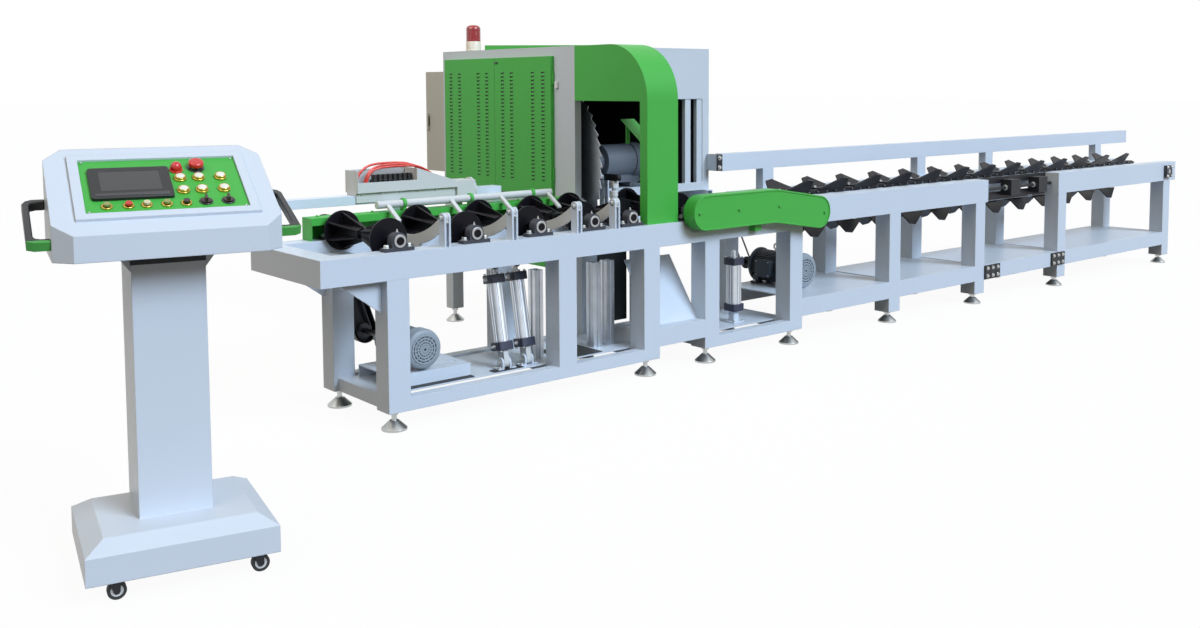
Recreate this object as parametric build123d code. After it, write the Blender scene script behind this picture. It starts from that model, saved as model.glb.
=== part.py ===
from build123d import *
import math
import os

# Log bucking saw line: infeed roller table, saw station with an arched hood, winged-chain outfeed
# conveyor and a wheeled control console.  Millimetres.  +X runs with the logs, +Z is up, and the
# origin is on the floor under the first front leg.

# General fits and sheet
SEAT = 0.3
RUN_FIT = 0.05
SHEET = 4.0
HANG_GAP = 1.2
HOLE_GAP = 2.0

# Table frame
TUBE = 110.0
TUBE_WALL = 5.0
CAP_PLATE = 5.0
LEG_X = (0.0, 951.0, 1514.0, 1963.0, 2664.0)
BEAM_LEGS = (0, 2, 3, 4)
CHUTE_BAY = 2
BASE_DEPTH = 515.0
RAIL_SETBACK = 75.0
TABLE_LEFT = -370.0
RAIL_TOP = 800.0
RAIL_DEPTH = 120.0
FRAME_UNDER = 87.0
LOW_RAIL = 60.0
LIFTED_RAIL = (150.0, 250.0)
BEAM_DEPTH = 60.0
GUSSET = (210.0, 150.0, 10.0)
FLOOR_SHEET = 6.0
LEG_PLATE = 10.0
CHUTE_DROP = 330.0

# Levelling feet
FOOT_RADIUS = 58.0
FOOT_PAD = 9.0
FOOT_CONE = 34.0
STUD_RADIUS = 12.0
NUT_RADIUS = 21.0
NUT_HEIGHT = 18.0

# Roller line
ROLLER_X = (31.0, 440.0, 812.0, 1150.0, 1410.0, 1835.0)
SHAFT_RADIUS = 17.5
BEARING_HEIGHT = 46.0
BEARING_BASE = (150.0, 44.0, 16.0)
BEARING_RADIUS = 38.0
DISC_RADIUS = 95.0
DISC_THICK = 8.0
DISC_INSET = 75.0
FIN_COUNT = 6
FIN_THICK = 8.0
HUB_RADIUS = 28.0
FIN_NOSE = 8.0
MID_GAP = 40.0
SHAFT_STUB = 33.0
SPROCKET_RADIUS = 36.0
SPROCKET_THICK = 8.0
SPROCKET_STEP = 10.0
BEARING_CLEAR = 4.0
CHAIN_GAP = 0.05
CHAIN_THICK = 7.0

# Guards over the roller chain and the drives
GUARD_RISE = 108.0
GUARD_LIP = 36.0
GUARD_LEAD = 141.0
GUARD_TAIL = 80.0
GUARD_REACH = 42.0
DRIVE_GUARD_HALF = 95.0
DRIVE_GUARD_DEPTH = 78.0
DRIVE_GUARD_GAP = 2.0
DRIVE_GUARD_LOBE = 0.0
DRIVE_GUARD_BEND_X = 2395.0
NOTCH_GAP = 15.0

# Log kicker: posts, cradle arms and their air cylinders
ARM_X = (260.0, 635.0, 1028.0, 1276.0)
ARM_THICK = 12.0
ARM_TIP_Y = 440.0
ARM_TIP_RISE = 12.0
ARM_DEPTH = 30.0
ARM_BELLY = (170.0, 17.0)
ARM_SADDLE = (180.0, 3.0)
ARM_HEEL = (20.0, 14.0)
ARM_NECK = 14.0
ARM_EYE = 22.0
LUG_RISE = 8.0
POST_PLATE = 10.0
POST_GAP = 1.0
POST_DEPTH = 47.0
POST_RISE = 156.0
PIN_RADIUS = 8.0
TORQUE_Y = 206.0
TORQUE_DROP = 141.0
TORQUE_RADIUS = 20.0
LUG_HALF = 26.0
KICK_X = (680.0, 815.0)
KICK_BASE_Y = 110.0
KICK_BASE_RISE = 30.0
BARREL = 74.0
BARREL_CAP = 84.0
BARREL_BORE = 26.0
BARREL_LENGTH = 372.0
CAP_LENGTH = 42.0
BARREL_START = 60.0
KICK_ROD = 13.0
EYE_PLAY = 5.0
EYE_WALL = 12.0
EYE_WIDTH = 30.0

# Ejector fingers on a torque tube above the chain guard
EJECT_SETBACK = 18.0
EJECT_RISE = 145.0
EJECT_RADIUS = 19.0
EJECT_SPAN = (250.0, 1330.0)
FINGER_X = (305.0, 675.0, 985.0, 1298.0)
FINGER_WIDTH = 22.0
FINGER_THICK = 12.0
FINGER_REACH = 120.0
FINGER_DROP = 79.0
EJECT_BRACKETS = (400.0, 800.0, 1200.0)
BRACKET_THICK = 16.0

# Log pusher on its beam
BEAM_SPAN = (-300.0, 1090.0)
BEAM_GAP = 55.0
BEAM_SIZE = (80.0, 45.0)
BEAM_RISE = 140.0
BEAM_BRACKETS = (-250.0, 400.0, 1040.0)
BEAM_BRACKET_WIDTH = 72.0
PUSHER_X = 205.0
PUSHER_LENGTH = 700.0
PUSHER_PLATE = 12.0
PUSHER_CHEEK = 8.0
HOUSING = (345.0, 128.0, 112.0)
HOUSING_FRONT = 52.0
END_BOX = (115.0, 128.0, 33.0)
FLANGE_RADIUS = 65.0
FLANGE_DROP = 10.0
HOSE_RADIUS = 6.0
HOSE_SIDES = (-38.0, 0.0, 38.0)
HOSE_STARTS = (60.0, 72.0, 46.0)
HOSE_RISES = (0.0, 8.0, 14.0)
HOSE_DROP = 17.0
UNION = (9.0, 14.0)

# Saw unit
BLADE_X = 1595.0
BLADE_RADIUS = 579.0
BLADE_THICK = 5.0
TOOTH_COUNT = 60
TOOTH_DEPTH = 20.0
TOOTH_TIP = 0.75
TOOTH_FACE = 0.95
SPINDLE_BACK = 449.0
SPINDLE_RISE = 175.0
SPINDLE_RADIUS = 30.0
SPINDLE_NUT = 48.0
CLAMP_DISC = 100.0
CLAMP_DISC_THICK = 24.0
CARTRIDGE_RADIUS = 65.0
CARTRIDGE_GAP = 28.5
CARTRIDGE_LENGTH = 400.0
SAW_MOTOR_RADIUS = 112.0
SAW_MOTOR_LENGTH = 300.0
SAW_MOTOR_OVERHANG = -10.0
PLATE_NOSE = 50.0
PLATE_FRONT = 54.0
PLATE_LENGTH = 500.0
PLATE_THICK = 15.0
RAIL_INSET = 60.0
RAIL_SIZE = (30.0, 22.0)
BEARER = (70.0, 90.0, 10.0)
BEARER_LIFT = 4.0
SADDLE = (60.0, 110.0)

# Saw cabinet and its base
CABINET_SIDE = 91.0
CABINET_ROOM = 205.0
CABINET_LAP = 20.0
CABINET_DEPTH = 1351.0
CABINET_HEIGHT = 865.0
CABINET_FLOOR = 8.0
BLADE_SLOT = 60.0
FRONT_STRIP = 45.0
PORTAL_MARGIN = 55.0
PORTAL_SILL = 50.0
PORTAL_POSTS = (121.0, 23.0)
PORTAL_POST = (46.0, 26.0)
DOOR_MARGIN_Y = (187.0, 53.0)
DOOR_MARGIN_Z = (12.0, 53.0)
DOOR_DEPTH = 24.0
DOOR_SKIN = 3.0
DOOR_GAP = 2.0
LOUVRE_COLUMNS = (0.133, 0.31, 0.687, 0.852)
LOUVRE_ROWS = 29
LOUVRE_SIZE = (30.0, 13.0)
LOUVRE_MARGIN = 90.0
HINGE_RADIUS = 7.0
HINGE_LENGTH = 70.0
SAW_BEAM = 50.0
SAW_BEAM_HEIGHT = 85.0
SAW_LEG = 80.0

# Arched hood and the guard under the blade
HOOD_WIDTH = 221.0
HOOD_SETBACK = 25.0
HOOD_LEG = 57.0
HOOD_BEAM = 305.0
HOOD_CORNER = 300.0
HOOD_INNER_CORNER = 6.0
HOOD_SLOT_START = 142.5
ROOF_STRIP = (6.0, 36.0)
ROOF_STRIP_INSET = 111.0
ROOF_STRIP_SHORT = 313.0
DEFLECTOR_X = (17.0, 115.0)
DEFLECTOR_REACH = 277.0
DEFLECTOR_DROP = (306.0, 104.0)
DEFLECTOR_BAR = (26.0, 42.0, 100.0)
LOWER_GUARD_WIDTH = 80.0
LOWER_GUARD_ROOM = 19.0
LOWER_GUARD_FRONT = 329.0
LOWER_GUARD_BEND = 381.0
LOWER_GUARD_BACK = 42.0
LOWER_GUARD_RISE = 188.0

# Electrical cabinet and beacon
ELECTRIC_INSET = 141.0
ELECTRIC_WIDTH = 400.0
ELECTRIC_DEPTH = 410.0
ELECTRIC_MARGIN_Z = (77.0, 123.0)
ELECTRIC_DOOR = 20.0
ELECTRIC_HINGE = 6.0
HANDLE_SIZE = (14.0, 22.0, 110.0)
BEACON_INSET = (56.0, 268.0)
BEACON_BASE = (50.0, 60.0)
BEACON_LENS = (46.0, 102.0)

# Log clamp behind the blade
CLAMP_OFFSET = 108.0
CLAMP_WIDTH = 24.0
CLAMP_SETBACK = 37.0
CLAMP_RISE = 210.0
CLAMP_REACH = 135.0
CLAMP_DEPTH = 36.0
CHEEK_THICK = 10.0
CHEEK_WIDTH = 30.0
CLAMP_ROD_REACH = 83.0
CLAMP_BARREL_RADIUS = 24.0
CLAMP_BARREL_LENGTH = 145.0
CLAMP_ROD_RADIUS = 10.0
CLEVIS = 40.0

# Drive motors
INFEED_MOTOR_OFFSET = 191.0
INFEED_MOTOR_RISE = 104.0
INFEED_MOTOR_RADIUS = 86.0
INFEED_MOTOR_Y = (95.0, 440.0)
INFEED_BOX_TILT = 35.0
MOTOR_BASE_X = (58.0, 480.0)
MOTOR_BASE_Y = (105.0, 430.0)
MOTOR_BASE_HEIGHT = 60.0
MOTOR_SLOT = (150.0, 14.0)
MOTOR_SLOT_X = 375.0
MOTOR_SLOT_Y = (195.0, 335.0)
OUTFEED_MOTOR_OFFSET = 215.0
OUTFEED_MOTOR_RISE = 112.0
OUTFEED_MOTOR_RADIUS = 100.0
OUTFEED_MOTOR_Y = (145.0, 560.0)
OUTFEED_BOX_TILT = 0.0
MOTOR_SHAFT_RADIUS = 14.0
COWL_STEP = 8.0
COWL_LENGTH = 70.0
MOTOR_FOOT = 14.0
TERMINAL_BOX = (60.0, 110.0, 100.0)
DRIVE_GAP = 23.0
OUT_DRIVE_GAP = 44.0
SIDE_GUARD_HALF = 62.0
SIDE_GUARD_GAP = 5.0
SIDE_GUARD_DEPTH = 50.0

# Outfeed conveyor
CONVEYOR_LEGS = (3626.0, 4608.0, 5720.0, 7456.0)
CONVEYOR_JOINT = 3.0
CONVEYOR_END = 7612.0
CONVEYOR_LEG = 116.0
CONVEYOR_STEP = 62.0
CONVEYOR_RAIL = 155.0
CONVEYOR_LEG_UNDER = 72.0
CONVEYOR_LOW = (162.0, 268.0)
SECTION_GAP = (4700.0, 5660.0)
CROSS_TUBE = 60.0
HEAD_INSET = 53.0
TAIL_INSET = 162.0
CHAIN_DROP = 77.0
CHAIN_WHEEL = 58.0
CHAIN_WHEEL_THICK = 26.0
RETURN_SAG = 48.0
FLANGE_BEARING = (100.0, 26.0)
STRAND_FLANGE = (84.0, 8.0)
STRAND_WEB = (44.0, 14.0)
STRAND_SHORT = 16.0
FLIGHT_PITCH = 344.0
TOP_RUN = (15.0, 185.0, 13)
RETURN_RUN = (120.0, 357.0, 12)
FLIGHT_BASE = (150.0, 118.0, 8.0)
WING_LENGTH = 250.0
WING_TIP = 90.0
WING_NOSE = 30.0
WING_HEIGHT = 100.0
WING_SHOULDER = 90.0
WING_HEEL = 12.0
WING_THICK = 8.0
WING_LEAN = 40.0
BED_WIDTH = 90.0
RETURN_STRIP = (16.0, 5.0)
HANGER = 5.0
SPLICE = (190.0, 96.0, 10.0)
LINK_BAR = (45.0, 12.0)
SCREW_BLOCK = (120.0, 85.0, 114.0)
SCREW_BLOCK_X = (5040.0, 5420.0)
SCREW_RADIUS = 11.0

# Fence along the conveyor
FENCE_GAP = 35.0
FENCE_END = 7835.0
FENCE_RISE = 138.0
FENCE_SIZE = (60.0, 107.0)
FENCE_POSTS = (3020.0, 4687.0, 5585.0, 7323.0)
FENCE_POST = 100.0
FENCE_BRACKET = 55.0

# Guides and the spare cylinder under the table
LIFT_RAIL_X = (936.0, 1318.0, 1412.0)
LIFT_RAIL_Y = 190.0
LIFT_RAIL = (50.0, 60.0)
LIFT_RAIL_SHORT = 80.0
UPRIGHT_AT = (2350.0, 150.0)
UPRIGHT_BARREL = (88.0, 270.0)
UPRIGHT_RISE = 68.0

# Control console, in its own frame
CONSOLE_POS = (-1286.0, -837.0)
CONSOLE_TURN = -11.7
STAND_SIZE = (562.0, 500.0)
STAND_UNDER = 75.0
STAND_SKIRT = 85.0
STAND_BEVEL = 57.0
STAND_BEVEL_RISE = 35.0
COLUMN_SIZE = (219.0, 260.0)
COLUMN_BACK = 50.0
HEAD_SIZE = (660.0, 427.0)
HEAD_CHAMFER = 55.0
HEAD_UNDER = 1020.0
HEAD_FRONT = 1100.0
HEAD_BACK = 1330.0
CONSOLE_SHEET = 3.0
PANEL_SIZE = (474.0, 300.0)
PANEL_OFFSET = (4.0, 8.0)
PANEL_THICK = 3.0
PANEL_LAP = 40.0
PANEL_FRAME = (30.0, 10.0)
SCREEN_SIZE = (230.0, 165.0, 9.0)
SCREEN_AT = (-92.0, 15.0)
DOME_AT = (52.0, 90.0)
LAMP_COLUMNS = (57.0, 113.0, 180.0)
LAMP_ROWS = (36.0, -35.0)
LAMP_RADIUS = 14.0
LAMP_HEIGHT = 12.0
BUTTON_X = (-172.0, -111.0, -59.0, -1.0, 56.0)
BUTTON_ROW = -104.0
BUTTON_RADIUS = 10.0
BUTTON_HEIGHT = 14.0
BUTTON_STEM = 5.0
SELECTOR_X = (115.0, 182.0)
SELECTOR_ROW = -99.0
SELECTOR_RADIUS = 15.0
STOP_AT = (114.0, 98.0)
STOP_RADIUS = 24.0
HANDLE_BAR = 13.0
HANDLE_BEND = 26.0
HANDLE_OUT = 58.0
HANDLE_FRONT = (-138.0, 1072.0)
HANDLE_BACK = (138.0, 1164.0)
CASTER_INSET = 70.0
CASTER_RADIUS = 28.0
CASTER_WIDTH = 20.0
CASTER_TRAIL = 20.0
CASTER_TURN = -90.0
CASTER_PLATE = 6.0
FORK_CHEEK = 3.0
FORK_GAP = 1.5
AXLE_RADIUS = 4.0
KING_PIN = 6.0

# Table places worked out from those sizes
HALF = TUBE / 2
FRONT = (-HALF, HALF)
BACK_LEG = (BASE_DEPTH - HALF, BASE_DEPTH + HALF)
BACK_RAIL_Y = BASE_DEPTH + RAIL_SETBACK
BACK_RAIL = (BACK_RAIL_Y - HALF, BACK_RAIL_Y + HALF)
RAIL_UNDER = RAIL_TOP - RAIL_DEPTH
AXIS_Z = RAIL_TOP + BEARING_HEIGHT
TABLE_RIGHT = LEG_X[-1] + HALF
LOW_TOP = FRAME_UNDER + LOW_RAIL
DISC_FRONT = DISC_INSET
DISC_BACK = BACK_RAIL_Y - DISC_INSET
BEARING_BACK = BACK_RAIL_Y + BEARING_BASE[1] / 2 + BEARING_CLEAR
SPROCKET_PLANES = (BEARING_BACK, BEARING_BACK + SPROCKET_STEP)
GUARD_TOP = RAIL_TOP + GUARD_RISE
GUARD_SPAN = (ROLLER_X[0] - GUARD_LEAD, ROLLER_X[-2] + GUARD_TAIL)
GUARD_FRONT_Y = BACK_RAIL_Y - GUARD_REACH
LOBE_X = ROLLER_X[-1] - DRIVE_GUARD_LOBE
NOTCH_RADIUS = DRIVE_GUARD_HALF + NOTCH_GAP
NOTCH_Z = AXIS_Z - NOTCH_RADIUS
POST_TOP = RAIL_TOP + POST_RISE
PIN_POS = (-HALF + POST_DEPTH / 2, POST_TOP - POST_DEPTH / 2)
TORQUE_POS = (TORQUE_Y, RAIL_TOP - TORQUE_DROP)
KICK_BASE = (KICK_BASE_Y, LOW_TOP + KICK_BASE_RISE)
KICK_REACH = math.dist(KICK_BASE, TORQUE_POS)
KICK_LEAN = math.degrees(math.atan2(TORQUE_POS[0] - KICK_BASE[0], TORQUE_POS[1] - KICK_BASE[1]))
EJECT_POS = (BACK_RAIL_Y - EJECT_SETBACK, RAIL_TOP + EJECT_RISE)
FINGER_TIP = (EJECT_POS[0] - FINGER_REACH, EJECT_POS[1] - FINGER_DROP)
BEAM_Y = (BACK_RAIL[1] + BEAM_GAP, BACK_RAIL[1] + BEAM_GAP + BEAM_SIZE[0])
BEAM_Z = (RAIL_TOP + BEAM_RISE, RAIL_TOP + BEAM_RISE + BEAM_SIZE[1])
BEAM_MID = (BEAM_Y[0] + BEAM_Y[1]) / 2
PUSHER_DECK = BEAM_Z[1] + SEAT + PUSHER_PLATE
MOTOR_DECK = LOW_TOP + MOTOR_BASE_HEIGHT
INFEED_MOTOR_POS = (ROLLER_X[0] + INFEED_MOTOR_OFFSET, MOTOR_DECK + INFEED_MOTOR_RISE)
DRIVE_PLANE = (BACK_RAIL[1] + DRIVE_GAP, BACK_RAIL[1] + DRIVE_GAP + SPROCKET_THICK)
SIDE_GUARD_Y = (BACK_RAIL[1] + SIDE_GUARD_GAP, BACK_RAIL[1] + SIDE_GUARD_GAP + SIDE_GUARD_DEPTH)

# Saw places worked out from those sizes
CARTRIDGE_START = BLADE_X + BLADE_THICK / 2 + CLAMP_DISC_THICK + CARTRIDGE_GAP
CARTRIDGE_SPAN = (CARTRIDGE_START, CARTRIDGE_START + CARTRIDGE_LENGTH)
SAW_MOTOR_SPAN = (CARTRIDGE_SPAN[1], CARTRIDGE_SPAN[1] + SAW_MOTOR_LENGTH)
PLATE_X = (CARTRIDGE_SPAN[0] + PLATE_NOSE, SAW_MOTOR_SPAN[1] - SAW_MOTOR_OVERHANG)
RAIL_X = (PLATE_X[0] + RAIL_INSET, PLATE_X[1] - RAIL_INSET)
CABINET_X = (BLADE_X - CABINET_SIDE, PLATE_X[1] + CABINET_ROOM)
CABINET_Y = (BACK_RAIL_Y - CABINET_LAP, BACK_RAIL_Y - CABINET_LAP + CABINET_DEPTH)
CABINET_Z = (RAIL_TOP + SAW_BEAM_HEIGHT, RAIL_TOP + SAW_BEAM_HEIGHT + CABINET_HEIGHT)
CABINET_DECK = CABINET_Z[0] + CABINET_FLOOR
SPINDLE_POS = (CABINET_Y[0] + SPINDLE_BACK, CABINET_Z[0] + SPINDLE_RISE)
PLATE_Y = (SPINDLE_POS[0] - PLATE_FRONT, SPINDLE_POS[0] - PLATE_FRONT + PLATE_LENGTH)
RAIL_DECK = CABINET_DECK + RAIL_SIZE[1]
PLATE_Z = RAIL_DECK + SEAT + BEARER[2]
SLOT = (BLADE_X - BLADE_SLOT / 2, BLADE_X + BLADE_SLOT / 2)
HOOD_X = (CABINET_X[0], CABINET_X[0] + HOOD_WIDTH)
HOOD_UNDER = CABINET_Z[1] - HOOD_BEAM
ROOF_STRIP_END = CABINET_Y[1] - ROOF_STRIP_SHORT
PORTAL_X = (HOOD_X[1], CABINET_X[1] - PORTAL_MARGIN)
PORTAL_Z = (CABINET_Z[0] + PORTAL_SILL, HOOD_UNDER)
DOOR_Y = (CABINET_Y[0] + DOOR_MARGIN_Y[0], CABINET_Y[1] - DOOR_MARGIN_Y[1])
DOOR_Z = (CABINET_Z[0] + DOOR_MARGIN_Z[0], CABINET_Z[1] - DOOR_MARGIN_Z[1])
DOOR_MIDDLE = (DOOR_Y[0] + DOOR_Y[1]) / 2
DOOR_FACE = CABINET_X[0] - SEAT - DOOR_DEPTH
HINGE_X = CABINET_X[0] - SEAT - HINGE_RADIUS
LOWER_GUARD_FLOOR = SPINDLE_POS[1] - BLADE_RADIUS - LOWER_GUARD_ROOM
LOWER_GUARD_Y = (SPINDLE_POS[0] - LOWER_GUARD_FRONT, SPINDLE_POS[0] + BLADE_RADIUS + LOWER_GUARD_BACK)
ELECTRIC_X = (CABINET_X[0] + ELECTRIC_INSET, CABINET_X[0] + ELECTRIC_INSET + ELECTRIC_WIDTH)
ELECTRIC_Y = (CABINET_Y[1], CABINET_Y[1] + ELECTRIC_DEPTH)
ELECTRIC_LEAF = (ELECTRIC_X[0] - SEAT - ELECTRIC_DOOR, ELECTRIC_X[0] - SEAT)
ELECTRIC_EDGE = ELECTRIC_Y[0] + DOOR_GAP + ELECTRIC_HINGE
ELECTRIC_Z = (CABINET_Z[0] + ELECTRIC_MARGIN_Z[0], CABINET_Z[1] - ELECTRIC_MARGIN_Z[1])
BEACON_POS = (CABINET_X[0] + BEACON_INSET[0], CABINET_Y[1] - BEACON_INSET[1])
CLAMP_X = BLADE_X + CLAMP_OFFSET
CLAMP_PIVOT = (BACK_RAIL_Y - CLAMP_SETBACK, RAIL_TOP + CLAMP_RISE)
CLAMP_ROD_Y = CLAMP_PIVOT[0] - CLAMP_ROD_REACH

# Conveyor and console places worked out from those sizes
CONVEYOR_START = TABLE_RIGHT + CONVEYOR_JOINT
CONVEYOR_TOP = RAIL_TOP + CONVEYOR_STEP
CONVEYOR_UNDER = CONVEYOR_TOP - CONVEYOR_RAIL
CONVEYOR_MID_Y = BASE_DEPTH / 2
HEAD_X = CONVEYOR_START + HEAD_INSET
TAIL_X = CONVEYOR_END - TAIL_INSET
STRAND_END = TAIL_X - STRAND_SHORT
CHAIN_AXIS_Z = CONVEYOR_TOP - CHAIN_DROP
STRAND_TOP_UNDER = CHAIN_AXIS_Z + CHAIN_WHEEL + SEAT
STRAND_LOW_TOP = CHAIN_AXIS_Z - CHAIN_WHEEL - SEAT - RETURN_SAG
FLANGE_FACES = (-HALF - FLANGE_BEARING[1], BACK_LEG[1] + FLANGE_BEARING[1])
FRONT_DRIVE = (FLANGE_FACES[0] - 2 * SPROCKET_THICK, FLANGE_FACES[0] - SPROCKET_THICK)
OUT_DRIVE_PLANE = (FLANGE_FACES[1] + OUT_DRIVE_GAP, FLANGE_FACES[1] + OUT_DRIVE_GAP + SPROCKET_THICK)
OUTFEED_MOTOR_POS = (HEAD_X + OUTFEED_MOTOR_OFFSET, CONVEYOR_LOW[1] + OUTFEED_MOTOR_RISE)
DRIVE_GUARD_BEND = (DRIVE_GUARD_BEND_X, AXIS_Z)
FENCE_X = (CABINET_X[1] + FENCE_GAP, FENCE_END)
FENCE_Z = (CONVEYOR_TOP + FENCE_RISE, CONVEYOR_TOP + FENCE_RISE + FENCE_SIZE[1])
HEAD_SLOPE = math.degrees(math.atan2(HEAD_BACK - HEAD_FRONT, HEAD_SIZE[1]))
LAMP_AT = (DOME_AT,) + tuple((x, y) for y in LAMP_ROWS for x in LAMP_COLUMNS)
BUTTON_AT = tuple((x, BUTTON_ROW) for x in BUTTON_X)
SELECTOR_AT = tuple((x, SELECTOR_ROW) for x in SELECTOR_X)
STAND_TOP = STAND_UNDER + STAND_SKIRT + STAND_BEVEL_RISE


# Basic shapes

def block(x, y, z):
    """Box over three (low, high) spans."""
    spans = (x, y, z)
    centre = [(low + high) / 2 for low, high in spans]
    size = [high - low for low, high in spans]
    return Pos(*centre) * Box(*size)


def around(centre, size):
    """(low, high) span of a size about a centre."""
    return (centre - size / 2, centre + size / 2)


def tube(axis, x, y, z, wall=TUBE_WALL):
    """Rectangular hollow section over three spans, open along its axis."""
    spans = [x, y, z]
    inner = [(low + wall, high - wall) for low, high in spans]
    inner["XYZ".index(axis)] = spans["XYZ".index(axis)]
    return block(*spans) - block(*inner)


def end_caps(span, y, z, ends=(True, True)):
    """Plates let into the open ends of a hollow section along X."""
    inner_y = (y[0] + TUBE_WALL, y[1] - TUBE_WALL)
    inner_z = (z[0] + TUBE_WALL, z[1] - TUBE_WALL)
    plates = []
    if ends[0]:
        plates.append(block((span[0], span[0] + CAP_PLATE), inner_y, inner_z))
    if ends[1]:
        plates.append(block((span[1] - CAP_PLATE, span[1]), inner_y, inner_z))
    return plates


def rod(axis, span, centre, radius, bore=0.0):
    """Round bar along an axis, with an optional bore; centre holds the other two coordinates."""
    low, high = span
    first, second = centre
    place = {
        "X": Plane(origin=(low, first, second), z_dir=(1, 0, 0)),
        "Y": Plane(origin=(first, low, second), z_dir=(0, 1, 0)),
        "Z": Plane(origin=(first, second, low), z_dir=(0, 0, 1)),
    }[axis]
    section = Circle(radius)
    if bore:
        section = section - Circle(bore)
    return extrude(place * section, amount=high - low)


def slab_yz(face, span):
    """Extrude a face drawn in (Y, Z) along X over a span."""
    low, high = span
    return extrude(Plane.YZ.offset(low) * face, amount=high - low)


def slab_xz(face, span):
    """Extrude a face drawn in (X, Z) along Y over a span."""
    low, high = span
    return extrude(Plane.XZ.offset(-high) * face, amount=high - low)


def polygon(*points):
    """Face inside a closed run of points."""
    return make_face(Polyline(*points, close=True))


def slot_face(start, end, half):
    """Round-ended face that joins two centres."""
    length = math.dist(start, end)
    angle = math.degrees(math.atan2(end[1] - start[1], end[0] - start[0]))
    middle = ((start[0] + end[0]) / 2, (start[1] + end[1]) / 2)
    return Pos(*middle) * SlotCenterToCenter(length, 2 * half, rotation=angle)


def chain_loop(start, end, radius, plane):
    """Flat chain band round two equal wheels whose axes lie along Y."""
    inside = slot_face(start, end, radius + CHAIN_GAP)
    outside = slot_face(start, end, radius + CHAIN_GAP + CHAIN_THICK)
    return slab_xz(outside - inside, plane)


# Table frame

def leg(x, y, under, top):
    """Hollow leg with a plate across its foot."""
    plate_top = under + LEG_PLATE
    return [tube("Z", x, y, (plate_top, top)), block(x, y, (under, plate_top))]


def front_rail():
    """Front rail: full depth up to the drive guard, then a low rail under it."""
    tall = tube("X", (TABLE_LEFT, LOBE_X), FRONT, (RAIL_UNDER, RAIL_TOP))
    tall -= rod("Y", FRONT, (LOBE_X, AXIS_Z), NOTCH_RADIUS)
    low = tube("X", (LOBE_X, TABLE_RIGHT), FRONT, (RAIL_UNDER, NOTCH_Z))
    riser_x = around(ROLLER_X[-1], BEARING_BASE[0])
    riser = block(riser_x, around(0, BEARING_BASE[1]), (NOTCH_Z, RAIL_TOP))
    caps = end_caps((TABLE_LEFT, LOBE_X), FRONT, (RAIL_UNDER, RAIL_TOP), (True, False))
    return [tall, low, riser] + caps


def kicker_post(x):
    """Fork post on the front rail: two round-topped plates and the arm's pin."""
    low_y, high_y = -HALF, -HALF + POST_DEPTH
    outline = polygon((low_y, RAIL_TOP), (high_y, RAIL_TOP), (high_y, PIN_POS[1]), (low_y, PIN_POS[1]))
    outline += Pos(*PIN_POS) * Circle(POST_DEPTH / 2)
    outline -= Pos(*PIN_POS) * Circle(PIN_RADIUS + RUN_FIT)
    inside = ARM_THICK / 2 + POST_GAP
    reach = inside + POST_PLATE
    plates = [slab_yz(outline, (x + side - POST_PLATE / 2, x + side + POST_PLATE / 2))
              for side in (-inside - POST_PLATE / 2, inside + POST_PLATE / 2)]
    pin = rod("X", (x - reach - SEAT, x + reach + SEAT), PIN_POS, PIN_RADIUS)
    return plates + [pin]


def pusher_beam():
    """Square beam behind the table that carries the log pusher."""
    beam = tube("X", BEAM_SPAN, BEAM_Y, BEAM_Z)
    parts = [beam] + end_caps(BEAM_SPAN, BEAM_Y, BEAM_Z)
    shelf_z = (BEAM_Z[0] - PUSHER_PLATE, BEAM_Z[0])
    for x in BEAM_BRACKETS:
        wide = around(x, BEAM_BRACKET_WIDTH)
        stem = block(wide, (BACK_RAIL[1], BACK_RAIL[1] + PUSHER_PLATE), (RAIL_UNDER, shelf_z[0]))
        parts.append(stem + block(wide, (BACK_RAIL[1], BEAM_Y[1]), shelf_z))
    return parts


def motor_base():
    """Raised sheet base of the infeed motor, with two slots for its bolts."""
    top = block(MOTOR_BASE_X, MOTOR_BASE_Y, (MOTOR_DECK - FLOOR_SHEET, MOTOR_DECK))
    for y in MOTOR_SLOT_Y:
        top -= block(around(MOTOR_SLOT_X, MOTOR_SLOT[0]), around(y, MOTOR_SLOT[1]), (LOW_TOP, MOTOR_DECK))
    for low in (MOTOR_BASE_Y[0], MOTOR_BASE_Y[1] - FLOOR_SHEET):
        top += block(MOTOR_BASE_X, (low, low + FLOOR_SHEET), (LOW_TOP, MOTOR_DECK))
    return [top]


def saw_base():
    """Beams and rear legs that carry the saw cabinet behind the table."""
    left = (CABINET_X[0], CABINET_X[0] + SAW_BEAM)
    right = (CABINET_X[1] - SAW_BEAM, CABINET_X[1])
    beam_z = (RAIL_TOP, CABINET_Z[0])
    parts = []
    for x in (left, right):
        parts.append(tube("Y", x, (BACK_RAIL[0], CABINET_Y[1]), beam_z))
    parts.append(tube("X", (left[1], right[0]), (CABINET_Y[1] - SAW_LEG, CABINET_Y[1]), beam_z))
    for x in saw_leg_x():
        parts += leg(around(x, SAW_LEG), (CABINET_Y[1] - SAW_LEG, CABINET_Y[1]), FRAME_UNDER, RAIL_TOP)
    return parts


def saw_leg_x():
    """Centres of the two rear saw legs along X."""
    return (CABINET_X[0] + SAW_LEG / 2, CABINET_X[1] - SAW_LEG / 2)


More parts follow.
